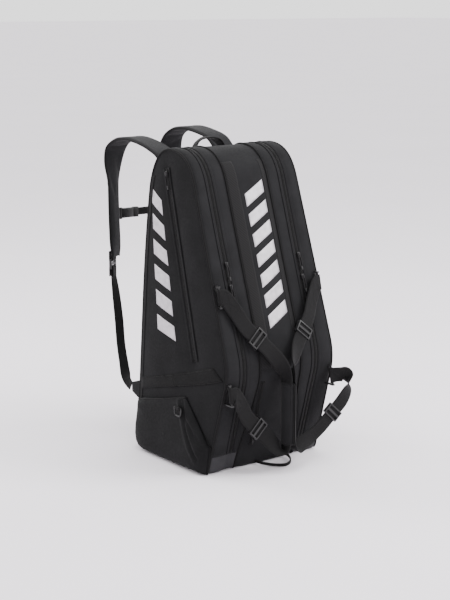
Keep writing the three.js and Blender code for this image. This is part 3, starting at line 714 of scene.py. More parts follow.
def bilinear(corners, u, v):
    a, b, c, d = (np.array(p, float) for p in corners)
    return (a * (1 - u) + b * u) * (1 - v) + (d * (1 - u) + c * u) * v


def patch_on(surface, name, corners, material, out_of, lift, nu=12, nv=12, thickness=0.4 * MM):
    """A flat piece sewn or printed on a surface, between four corners given in the surface's own places."""
    rows, uv = [], []
    for i in range(nv + 1):
        flat = [bilinear(corners, j / nu, i / nv) for j in range(nu + 1)]
        rows.append([surface(a, b, lift) for a, b in flat])
        uv.append([(a, b, 0) for a, b in flat])
    return cloth(grid(name, rows, cloth_uv=uv), material, material, out_of, thickness)


def polyline(points, step):
    points = [np.array(p, float) for p in points]
    made = []
    for a, b in zip(points, points[1:]):
        count = max(1, int(np.linalg.norm(b - a) / step))
        made += [a + (b - a) * (k / count) for k in range(count)]
    return made + [points[-1]]


# ---- The front: middle panel, gussets, zips and piping -------------------------------------------


def front_shell():
    seam_in = lambda sign, gap: (lambda s: sign * (centre_seam(s) - gap))
    middle = front_strip(
        "centre_front_cloth", seam_in(-1, 0), seam_in(1, 0), FOOT, BACK_S, 28, SHELL
    )
    place(middle, BODY, "shell_fabric", "centre_front_panel")
    inner_edge = ZIP_LINE - TAPE
    side_edge = lambda sign: (lambda s: sign * (half_width(on_outline(s)[1]) - HINGE_GAP))
    for side, sign in SIDES:
        cover = NODE_BODY[f"{side}_outer_gusset"]
        strip = front_strip(
            f"{side}_inner_gusset_cloth", lambda s: sign * centre_seam(s), lambda s: sign * inner_edge,
            GUARD_S, BACK_S, 8, SHELL,
        )
        place(strip, BODY, "shell_fabric", f"{side}_inner_gusset")
        strip = front_strip(
            f"{side}_outer_gusset_cloth", lambda s: sign * (ZIP_LINE + TAPE), side_edge(sign),
            GUARD_S + HINGE_GAP, BACK_S + HINGE_GAP, 10, SHELL,
        )
        place(strip, cover, "shell_fabric", f"{side}_outer_gusset")
        guard = front_strip(
            f"{side}_base_guard_cloth", lambda s: sign * centre_seam(s), side_edge(sign),
            FOOT, GUARD_S, 18, COATED, step=0.004,
        )
        place(guard, NODE_BODY[f"{side}_base_guard"], "coated_fabric", f"{side}_base_guard")

        seam = front_line(seam_in(sign, 0), FOOT, BACK_S, 1.4 * MM)
        place(paint(tube(f"{side}_centre_piping", seam, 2.1 * MM), BINDING), BODY, "piping")
        rim = []
        for y, z in (on_outline(s) for s in spread(FOOT, TOTAL - 0.004, 0.006)):
            rim.append(Vector((sign * half_width(z), y, max(z, 2.6 * MM))))
        place(paint(tube(f"{side}_edge_piping", rim, 2.4 * MM), BINDING), cover, "piping")

        thread(
            f"{side}_front_stitching", BODY,
            [
                sewn_front(seam_in(sign, 5 * MM), FOOT, BACK_S),
                sewn_front(seam_in(sign, -5 * MM), GUARD_S, BACK_S),
            ],
        )
        edge_x = lambda s: sign * (half_width(on_outline(s)[1]) - 6 * MM)
        thread(f"{side}_edge_stitching", cover, [sewn_front(edge_x, GUARD_S, BACK_S)])
        front_zip(side, sign, cover)


def tooth(x, s, lift):
    """One bead of a zip's coil on the front: its point, and the ways along, across and out."""
    y, z = outward(s)
    return front_point(x, s, lift), Vector((0, z, -y)), Vector((1, 0, 0)), Vector((0, y, z))


def front_zip(side, sign, cover):
    """Both halves of the main zip: tape, a raised guard fold along each outer edge, and the coil."""
    gap = 0.2 * MM
    for part, body, near, far in (
        ("inner", BODY, ZIP_LINE - gap, ZIP_LINE - TAPE - 1 * MM),
        ("outer", cover, ZIP_LINE + gap, ZIP_LINE + TAPE + 1 * MM),
    ):
        tape = front_strip(
            f"{side}_zip_{part}_tape", lambda s: sign * near, lambda s: sign * far, GUARD_S + 1 * MM, BACK_S, 3,
            TAPE_CLOTH, TAPE_CLOTH, lift=1.0 * MM, thickness=0.9 * MM,
        )
        place(tape, body, "zip_tape", f"{side}_zip_tape_{part}")
        step = 4 * MM if part == "inner" else -4 * MM
        fold = front_strip(
            f"{side}_zip_{part}_fold", lambda s: sign * (far + step * 0.9), lambda s: sign * (far - step * 0.7),
            GUARD_S + 1 * MM, BACK_S, 4, SHELL, SHELL, lift=2.0 * MM, thickness=1.2 * MM,
        )
        place(fold, body, "shell_fabric")
        sewn = sewn_front(sign * (far + step * 0.5), GUARD_S, BACK_S, 2.2 * MM)
        thread(f"{side}_zip_{part}_stitching", body, [sewn])
        offset = 0 if part == "inner" else 1.1 * MM
        x = sign * (ZIP_LINE + (-1.4 if part == "inner" else 1.4) * MM)
        along = np.arange(GUARD_S + 2 * MM + offset, BACK_S - 2 * MM, 2.2 * MM)
        teeth = [tooth(x, s, 1.5 * MM) for s in along]
        coil = beads(f"{side}_zip_{part}_coil", teeth, (1.5 * MM, 2.3 * MM, 1.3 * MM))
        place(paint(coil, TEETH), body, "zip_teeth")


def front_marks():
    """Printed silver bars, and a fine hatched print beside the seams, all generic shapes."""
    top, foot = length_at("front", 0.655), length_at("front", 0.335)
    bars = 7
    for i in range(bars):
        a = lerp(top, foot, i / bars)
        b = lerp(top, foot, (i + 0.62) / bars)
        low, high = a - BAR_SLANT, a + BAR_SLANT
        corners = ((-0.018, low), (0.042, high), (0.042, b + BAR_SLANT), (-0.018, b - BAR_SLANT))
        bar = patch_on(front_point, f"front_bar_{i}", corners, SILVER, (0, -1, 0.3), 0.35 * MM, 12, 8, 0.3 * MM)
        place(bar, BODY, "print")
    for side, sign in SIDES:
        near = -0.030 if side == "left" else 0.0455
        hatch = front_strip(
            f"{side}_hatched_print", lambda s: near, lambda s: sign * (centre_seam(s) - 2.5 * MM),
            length_at("front", 0.25), length_at("front", 0.715), 8, HATCHED, HATCHED,
            lift=0.35 * MM, thickness=0.3 * MM,
        )
        place(hatch, BODY, "print")


def front_pocket():
    """The short zip down the left of the middle panel."""
    low, high = length_at("front", 0.058), length_at("front", 0.222)
    x = -0.052
    for name, near, far in (("left", -0.3 * MM, -5.5 * MM), ("right", 0.3 * MM, 5.5 * MM)):
        tape = front_strip(
            f"pocket_zip_tape_{name}", lambda s: x + near, lambda s: x + far,
            low, high, 2, TAPE_CLOTH, TAPE_CLOTH,
            lift=0.8 * MM, thickness=0.8 * MM,
        )
        place(tape, BODY, "zip_tape", "front_pocket_zip")
    places = []
    for k, s in enumerate(np.arange(low, high, 1.3 * MM)):
        places.append(tooth(x + (0.9 * MM if k % 2 else -0.9 * MM), s, 1.3 * MM))
    coil = beads("pocket_zip_coil", places, (1.1 * MM, 1.9 * MM, 1.0 * MM))
    place(paint(coil, TEETH), BODY, "zip_teeth")
    sewn = [sewn_front(x + d, low, high, 1.0 * MM) for d in (-4.4 * MM, 4.4 * MM)]
    thread("pocket_zip_stitching", BODY, sewn)


# ---- Side covers ---------------------------------------------------------------------------------

BAND_TOP = ((123, 179), (1, 211), (-105, 242), (-170, 262))
BAND_FOOT = ((123, 151), (0, 181), (-134, 214), (-204, 236))


def side_covers():
    for side, sign in SIDES:
        cover = NODE_BODY[f"{side}_side_panel"]
        rows, uv = [], []
        for u in np.linspace(0, 1, 84):
            z = max(2 * MM, (HEIGHT - 0.6 * MM) * (1 - (1 - u) ** 1.8))
            back, front = depth("back", z), depth("front", z)
            ys = [lerp(back, front, v) for v in np.linspace(0, 1, 60)]
            rows.append([side_point(sign, y, z) for y in ys])
            uv.append([(y, z, 0) for y in ys])
        # The side cloth is painted darker than the front and crown cloth: painted shade.
        panel = cloth(grid(f"{side}_side_cloth", rows, cloth_uv=uv), SHADED_SIDE_SHELL, LINING, (sign, 0, 0))
        place(panel, cover, "shell_fabric", f"{side}_side_panel")
        side_zip(side, sign, cover)
        surface = lambda y, z, lift: side_point(sign, y, z, lift)
        for i in range(6):
            a, b = i / 6, (i + 0.6) / 6
            left = lambda t: bilinear(((0.084, 0.637), (0.046, 0.278), (0, 0), (0, 0)), t, 0)
            right = lambda t: bilinear(((0.040, 0.636), (-0.030, 0.286), (0, 0), (0, 0)), t, 0)
            slant = np.array([0, 0.012])
            corners = (left(a) + slant, right(a) - slant, right(b) - slant, left(b) + slant)
            name = f"{side}_side_bar_{i}"
            bar = patch_on(surface, name, corners, SILVER, (sign, 0, 0), 0.35 * MM, 8, 8, 0.3 * MM)
            place(bar, cover, "print")
        sewn = lambda line, lift: [[(side_point(sign, y, z, lift), (sign, 0, 0)) for y, z in line]]
        back_edge = polyline(((0.128, 0.03), (0.112, 0.33), (0.084, 0.65)), 0.006)
        thread(f"{side}_back_edge_stitching", cover, sewn(back_edge, 0.2 * MM))
        crown_seam = polyline(((0.028, 0.700), (-0.019, 0.727)), 0.006)
        thread(f"{side}_crown_stitching", cover, sewn(crown_seam, 0.3 * MM))
        front_edge = [(depth("front", z) + 7 * MM, z) for z in np.linspace(0.05, 0.66, 90)]
        thread(f"{side}_front_edge_stitching", cover, sewn(front_edge, 0.2 * MM))


def back_hinges():
    """A strip of binding down each back corner, across the hinge."""
    for side, sign in SIDES:
        rows, uv = [], []
        for z in np.linspace(0.012, BACK_TOP - 4 * MM, 90):
            x, y = half_width(z), depth("back", z)
            row = [(x - back, y + 1.1 * MM) for back in np.array((15, 11, 7, 3)) * MM]
            row += [(x, y + 0.9 * MM), (x + 1.0 * MM, y - 0.4 * MM)]
            row += [(x + side_puff(y - d, z) + 1.0 * MM, y - d) for d in np.array((3, 6, 9, 12, 15)) * MM]
            rows.append([Vector((sign * a, b, z)) for a, b in row])
            uv.append([(k * 3 * MM, z, 0) for k in range(len(row))])
        strip = grid(f"{side}_hinge_binding", rows, cloth_uv=uv)
        strip = cloth(strip, BINDING, BINDING, (sign, 0.7, 0), 0.8 * MM)
        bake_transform(strip)


def side_zip(side, sign, cover):
    along = SIDE_ZIP / np.linalg.norm(SIDE_ZIP)
    across = np.array([-along[1], along[0]])
    length = np.linalg.norm(SIDE_ZIP)
    surface = lambda y, z, lift: side_point(sign, y, z, lift)
    halves = []
    for way in (-1, 1):
        a, b = way * 0.25 * MM, way * 8 * MM
        corners = (ZIP_TOP + across * a, ZIP_TOP + across * b, ZIP_FOOT + across * b, ZIP_FOOT + across * a)
        halves.append(
            patch_on(surface, "half", corners, TAPE_CLOTH, (sign, 0, 0), 1.4 * MM, 3, 60, 0.9 * MM)
        )
        lip = way * 13 * MM
        corners = (
            ZIP_TOP + across * b * 0.8, ZIP_TOP + across * lip,
            ZIP_FOOT + across * lip, ZIP_FOOT + across * b * 0.8,
        )
        # The fold uses the side polyester, painted darker as painted shade.
        fold = patch_on(surface, "fold", corners, SHADED_SIDE_SHELL, (sign, 0, 0), 2.0 * MM, 4, 60, 1.0 * MM)
        halves.append(fold)
    tape = join(f"{side}_side_zip_tape", halves)
    place(tape, cover, "zip_tape", f"{side}_side_pocket_zip")
    places, lines = [], []
    direction = Vector((0, *along))
    for k, d in enumerate(np.arange(2 * MM, length - 2 * MM, 1.3 * MM)):
        y, z = ZIP_TOP + along * d + across * (0.9 * MM if k % 2 else -0.9 * MM)
        places.append((side_point(sign, y, z, 1.7 * MM), direction, Vector((0, *across)), Vector((sign, 0, 0))))
    coil = beads(f"{side}_side_zip_coil", places, (1.1 * MM, 1.9 * MM, 1.2 * MM))
    place(paint(coil, TEETH), cover, "zip_teeth")
    for way in (-9 * MM, 9 * MM):
        spots = [ZIP_TOP + across * way + along * d for d in np.arange(0, length, 0.006)]
        lines.append([(side_point(sign, y, z, 2.2 * MM), (sign, 0, 0)) for y, z in spots])
    thread(f"{side}_side_zip_stitching", cover, lines)


def side_band():
    top, foot = (polyline(np.array(p) * MM, 0.009) for p in (BAND_TOP, BAND_FOOT))
    count = 40
    pick = lambda line, t: line[min(int(round(t * (len(line) - 1))), len(line) - 1)]
    rows, uv = [], []
    for i in range(count + 1):
        a, b = pick(top, i / count), pick(foot, i / count)
        row = [a + (b - a) * (j / 6) for j in range(7)]
        rows.append([side_point(-1, y, z, 1.2 * MM) for y, z in row])
        uv.append([(j / 6 * 28 * MM, -y, 0) for j, (y, z) in enumerate(row)])
    band = cloth(grid("side_band_webbing", rows, cloth_uv=uv), BAND_WEBBING, BAND_WEBBING, (-1, 0, 0), 1.6 * MM)
    place(band, NODE_BODY["side_band"], "webbing", "side_band")
    edges = []
    for line, inward in ((top, -2.5 * MM), (foot, 2.5 * MM)):
        edges.append([(side_point(-1, y, z + inward, 1.4 * MM), (-1, 0, 0)) for y, z in line])
    thread("side_band_stitching", NODE_BODY["side_band"], edges)


# ---- Shoe pocket ---------------------------------------------------------------------------------

POCKET = (
    (106, 3), (122, 8), (132, 19), (136, 36), (135, 60), (131, 122), (20, 147), (-49, 166), (-73, 171),
    (-118, 121), (-161, 69), (-156, 34), (-150, 3),
)
MOUTH = ((131, 122), (20, 147), (-49, 166), (-73, 171))
PLEATS = (((-64, 166), (-79, 128), (-118, 91), (-159, 66)), ((-56, 160), (-92, 96), (-136, 38)))


def distance_to(line, y, z):
    best = 1e9
    p = np.array([y, z])
    for a, b in zip(line, line[1:]):
        a, b = np.array(a) * MM, np.array(b) * MM
        t = min(max(float((p - a) @ (b - a) / ((b - a) @ (b - a))), 0), 1)
        best = min(best, float(np.linalg.norm(p - a - (b - a) * t)))
    return best


def pocket_out(z):
    """The pocket's full distance from the bag's middle plane: it leans in towards its mouth."""
    return half_width(z) + 0.029 - 0.016 * max(0, (z - 0.06) / 0.11)


def from_mouth_end(y, z):
    """0 at either end of the pocket's mouth, rising to 1 away from it."""
    ends = np.array((MOUTH[0], MOUTH[-1])) * MM
    return smooth(min(1.0, float(np.min(np.hypot(ends[:, 0] - y, ends[:, 1] - z))) / 0.045))


def shoe_pocket():
    rim = polyline(np.array(POCKET + (POCKET[0],)) * MM, 0.0035)[:-1]
    middle = np.array([-10, 70]) * MM
    rings = 44
    rows, uv = [], []
    for k in range(rings + 1):
        share = (k / rings) ** 0.7
        row, marks = [], []
        for p in rim:
            y, z = middle + (p - middle) * share
            gap = distance_to(MOUTH, *p)
            open_here = (smooth(1 - gap / 0.02) if gap < 0.02 else 0.0) * from_mouth_end(y, z)
            fall = (1 - share ** 7) ** 0.55
            fall = lerp(fall, 1.0, open_here * 0.75)
            out = lerp(half_width(z) + side_puff(y, z) + 2.2 * MM, pocket_out(z), fall)
            for pleat in PLEATS:
                d = distance_to(pleat, y, z)
                ridge, crease = math.exp(-((d - 0.009) / 0.006) ** 2), math.exp(-(d / 0.004) ** 2)
                out += fall * (2.2 * MM * ridge - 3.4 * MM * crease)
            out += fall * ripple(y, z, 9.0, 0.075, 0.9 * MM)
            row.append(Vector((-out, y, max(z, 2 * MM))))
            marks.append((y, z, 0))
        rows.append(row)
        uv.append(marks)
    sheet = grid("shoe_pocket_cloth", rows, closed_columns=True, cloth_uv=uv)
    sheet = cloth(sheet, POCKET_CANVAS, LINING, (-1, 0, 0), 2.0 * MM)
    body = NODE_BODY["shoe_pocket"]
    place(sheet, body, "coated_fabric", "shoe_pocket")
    hem = []
    for y, z in polyline(np.array(MOUTH) * MM, 0.007):
        out = lerp(half_width(z), pocket_out(z), 0.25 + 0.55 * from_mouth_end(y, z))
        hem.append(Vector((-max(out, half_width(z) + side_puff(y, z) + 2.6 * MM), y, z)))
    place(paint(tube("shoe_pocket_hem", hem, 2.3 * MM), BINDING), body, "piping")
    seam = []
    for y, z in polyline(np.array(POCKET[8:] + POCKET[:5]) * MM, 0.007):
        seam.append(Vector((-(half_width(z) + 2.5 * MM), y, max(z, 3 * MM))))
    place(paint(tube("shoe_pocket_seam", seam, 2.2 * MM), BINDING), body, "piping")
    shadow_rows = []
    for y, z in polyline(np.array(MOUTH) * MM, 0.01):
        shadow_rows.append([side_point(-1, y, z + 2 * MM, 1.0 * MM), side_point(-1, y, z - 26 * MM, 1.2 * MM)])
    inside = cloth(grid("shoe_pocket_throat", shadow_rows), LINING, LINING, (-1, 0, 0), 0.8 * MM)
    place(inside, body, "lining")


# ---- Back, base and inside -----------------------------------------------------------------------


def back_and_base():
    foot, top = length_at("back", 0.004), BACK_S
    rows, uv = [], []
    for s in spread(foot, top, 0.01):
        y, z = on_outline(s)
        edge = half_width(z) - 6.5 * MM
        xs = np.linspace(-edge, edge, 30)
        rows.append([Vector((x, y - 2 * MM, max(z, 2 * MM))) for x in xs])
        uv.append([(x, s, 0) for x in xs])
    sheet = cloth(grid("back_cloth", rows, cloth_uv=uv), SHELL, LINING, (0, 1, 0), 2 * MM)
    place(sheet, BODY, "shell_fabric", "back_panel")

    low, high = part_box("base_board")
    rows, uv = [], []
    for y in np.linspace(low.y + 1 * MM, depth("back", 6 * MM) - 4.4 * MM, 24):
        xs = np.linspace(low.x + 1 * MM, high.x - 1 * MM, 24)
        rim = lambda x: min(x - low.x, high.x - x, y - low.y, high.y - y)
        rows.append([Vector((x, y, 0.2 * MM + 2.2 * MM * math.exp(-rim(x) / 0.004))) for x in xs])
        uv.append([(x, y, 0) for x in xs])
    base = cloth(grid("base_cloth", rows, cloth_uv=uv), COATED, LINING, (0, 0, -1), 5 * MM)
    place(base, BODY, "coated_fabric", "base_board")

    seam_tape = front_strip(
        "crown_lining_tape", lambda s: -0.097, lambda s: 0.097,
        BACK_S - 12 * MM, BACK_S + 10 * MM, 16, LINING, LINING,
        lift=-2.0 * MM, thickness=1.6 * MM, step=0.003,
    )
    place(seam_tape, BODY, "lining")

    low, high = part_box("centre_divider")
    rows, uv = [], []
    for z in np.linspace(low.z + 1 * MM, high.z - 2 * MM, 60):
        front = max(depth("front", z) + 13 * MM, low.y)
        back = min(depth("back", z) - 15 * MM, high.y)
        back = max(back, front + 6 * MM)
        ys = [lerp(front, back, v) for v in np.linspace(0, 1, 24)]
        rows.append([Vector((ripple(y, z, 3, 0.09, 1.2 * MM), y, z)) for y in ys])
        uv.append([(y, z, 0) for y in ys])
    divider = cloth(grid("divider_cloth", rows, cloth_uv=uv), LINING, LINING, (1, 0, 0), 2.2 * MM)
    place(divider, BODY, "lining", "centre_divider")

    pads = []
    for name, x, width, z0, z1 in (
        ("left", -0.096, 0.074, 0.19, 0.615), ("right", 0.096, 0.074, 0.19, 0.615),
        ("low", 0.0, 0.25, 0.035, 0.155),
    ):
        frames, travelled, before = [], 0.0, None
        for s in spread(length_at("back", z0), length_at("back", z1), 0.012 if name != "low" else 0.008):
            y, z = on_outline(s)
            ny, nz = outward(s)
            p = Vector((x, y + 3.4 * MM * ny, z + 3.4 * MM * nz))
            travelled += (p - before).length if before else 0
            before = p
            frames.append((p, Vector((1, 0, 0)), Vector((0, ny, nz)), travelled))
        length = frames[-1][3]
        end = lambda d: min(1.0, 0.16 + math.sqrt(max(min(d, length - d), 0) / 0.03))
        wide, thick = lambda d: width * (0.9 + 0.1 * min(1, end(d))), lambda d: 6.5 * MM * end(d)
        pad = ribbon(f"{name}_back_pad", frames, wide, thick, 16)
        paint(pad, MESH_CLOTH)
        pads.append((pad, BODY, "back_mesh", (), 17, 6 * MM, 0.6))
    return pads


# ---- Carry handles -------------------------------------------------------------------------------

BAR_UPPER = (-148.443, -173.707, 425.0)
BAR_LOWER = (-152.872, -221.214, 205.0)
BAR_LINE = (0.0197, 0.2110, 0.9773)
EYE = 4.1
LYING_LEG = (
    (-11, -242, 54, (-0.3, -1, 0)), (-29, -238, 62, (-0.6, -0.4, -0.6)), (-50, -228, 88, (-0.65, 0, -0.75)),
    (-76, -224, 115, (-0.65, 0, -0.75)), (-102, -220, 142, (-0.65, 0, -0.75)),
    (-120, -222, 172, (-0.55, 0, -0.8)),
)
BOWED_LEG = (
    (-11, -242, 54, (-0.3, -1, 0)), (-37, -238, 56, (-0.4, -0.4, -0.8)), (-82, -232, 70, (-0.3, 0, -1)),
    (-112, -236, 92, (-0.7, 0, -0.7)), (-138, -242, 120, (-0.7, 0, -0.7)), (-164, -248, 148, (-0.7, 0, -0.7)),
    (-184, -247, 180, (-0.3, 0.2, -0.9)), (-182, -238, 204, (0, 0, -1)), (-166, -234, 207, (0, 0.2, -1)),
)


def handle_rows(leg):
    (ux, uy, uz), (lx, ly, lz) = BAR_UPPER, BAR_LOWER
    down = tuple(-v for v in BAR_LINE)
    return (
        (ux + 1, uy - EYE, uz, BAR_LINE), (ux + 8, uy - EYE - 1, uz, BAR_LINE),
        (ux + 34, uy - 16, uz - 36, (0.6, 0.05, 0.75)), (-96, -201, 355, (0.72, 0.1, 0.68)),
        (-70, -212, 326, (0.74, 0.1, 0.66)), (-44, -223, 297, (0.74, 0.1, 0.66)),
        (-23, -236, 266, (0.72, -0.35, 0.45)),
        (-9, -242, 234, (0.2, -1, 0.1)), (-7, -242, 206, (0, -1, 0)), (-7, -242, 142, (0, -1, 0)),
        (-7, -242, 78, (0, -1, 0)), *leg, (lx + 11, ly - EYE - 1, lz + 1, down), (lx + 1, ly - EYE, lz, down),
    )


def around_bar(name, at, sign, radius, width, thickness):
    """A band of webbing wrapped round a bar."""
    axis = Vector((-sign * BAR_LINE[0], BAR_LINE[1], BAR_LINE[2]))
    centre = Vector((-sign * at[0], at[1], at[2])) * MM
    forward = Vector((0, -axis.z, axis.y)).normalized()
    right = axis.cross(forward).normalized()
    frames = []
    for k in range(29):
        turn = 2 * math.pi * k / 28
        out = forward * math.cos(turn) + right * math.sin(turn)
        frames.append((centre + out * radius, axis, out, radius * turn))
    return ribbon(name, frames, width, thickness, 6)


def box_stitch(frames, first, last, width, lift, inset=3.0 * MM):
    """A sewn rectangle with a cross in it, over the frames from first to last."""
    part = frames[first:last + 1]
    count = len(part) - 1

    def point(i, u):
        p, s, f, _ = part[i]
        return p + s * (u * (width / 2 - inset)) + f * lift, f * (1 if lift > 0 else -1)

    lines = [[point(i, u) for i in range(count + 1)] for u in (-1, 1)]
    lines += [[point(i, lerp(u, -u, i / count)) for i in range(count + 1)] for u in (-1, 1)]
    for i in (0, count):
        lines.append([point(i, u) for u in np.linspace(-1, 1, 7)])
    return lines


def carry_handles():
    pads = []
    for side, sign in SIDES:
        body = NODE_BODY[f"{side}_handle_webbing"]
        at, across = stations(handle_rows(LYING_LEG if side == "left" else BOWED_LEG), sign)
        frames = ribbon_frames(at, across, 150)
        strap = paint(ribbon(f"{side}_handle_strap", frames, HANDLE_WIDTH, 2.2 * MM, 8), WEBBING)
        eyes = [
            paint(around_bar("eye", spot, sign, 4.1 * MM, 36 * MM, 2.0 * MM), WEBBING)
            for spot in (BAR_UPPER, BAR_LOWER)
        ]
        place(join(f"{side}_handle_webbing_sewn", [strap, *eyes]), body, "webbing", f"{side}_handle_webbing")
        lines = []
        for first, last in ((8, 17), (132, 142)):
            for lift in (1.4 * MM, -1.4 * MM):
                lines += box_stitch(frames, first, last, HANDLE_WIDTH, lift)
        thread(f"{side}_handle_stitching", body, lines)

        rows, uv = [], []
        around = 22
        for z in np.linspace(GRIP_FOOT, GRIP_TOP, 34):
            end = min(z - GRIP_FOOT, GRIP_TOP - z)
            swell = 0.80 + 0.2 * min(1.0, math.sqrt(end / 9)) if end < 9 else 1.0
            ring, marks = [], []
            for i in range(around):
                turn = math.pi / 2 + math.pi * i / (around - 1)
                x = 15.0 * swell * math.cos(turn) - 0.7
                y = 20.5 * swell * math.sin(turn) + GRIP_Y
                ring.append(Vector((-sign * x, y, z)) * MM)
                marks.append((turn * 20 * MM, z * MM, 0))
            for i in range(1, 8):
                y = (-20.5 + 41 * i / 8) * swell + GRIP_Y
                ring.append(Vector((sign * 0.7, y, z)) * MM)
                marks.append((y * MM, z * MM, 0))
            rows.append(ring)
            uv.append(marks)
        pad = face_out(grid(f"{side}_grip_cushion", rows, closed_columns=True, cloth_uv=uv, caps=True))
        pad = paint(pad, GRIP_CLOTH)
        pinned = [i * (around + 7) + j for i in range(34) for j in [0, around - 1, *range(around, around + 7)]]
        pinned += list(range(around + 7)) + list(range(33 * (around + 7), 34 * (around + 7)))
        pads.append((pad, body, "grip_fabric", (f"{side}_grip_pad",), pinned, 3 * MM, 0.8))

        edge = []
        for way in (-1, 1):
            heights = np.linspace(GRIP_FOOT + 3, GRIP_TOP - 3, 30)
            seam = [Vector((sign * 1.9, GRIP_Y + way * 21.6, z)) * MM for z in heights]
            edge.append(tube("seam", seam, 1.2 * MM, 8))
        place(paint(join(f"{side}_grip_piping", edge), BINDING), body, "piping")

        lines = []
        for z in (73, 211):
            ring = []
            for i in range(20):
                turn = math.pi / 2 + math.pi * (i + 0.5) / 20
                x, y = math.cos(turn), math.sin(turn)
                spot = Vector((-sign * (16.6 * x - 0.7), 22.4 * y + GRIP_Y, z)) * MM
                ring.append((spot, (-sign * x, y, 0)))
            lines.append(ring)
        thread(f"{side}_grip_stitching", body, lines)
    return pads


# ---- Shoulder straps -----------------------------------------------------------------------------


def pad_rows(crest):
    line = (
        (104, 661), (98, 689), (112, 715), (145, crest - 19), (195, crest - 6), (250, crest), (300, crest - 7),
        (335, crest - 28), (350, crest - 64), (352, 620), (351, 545), (348, 480), (345, 438),
    )
    return [(-88, y, z, pad_across(z, crest) if y > 300 else (1, 0, 0)) for y, z in line]


def pad_across(z, crest):
    turn = 0.6 * smooth((crest - 20 - z) / 110)
    return (math.cos(turn), math.sin(turn), 0)


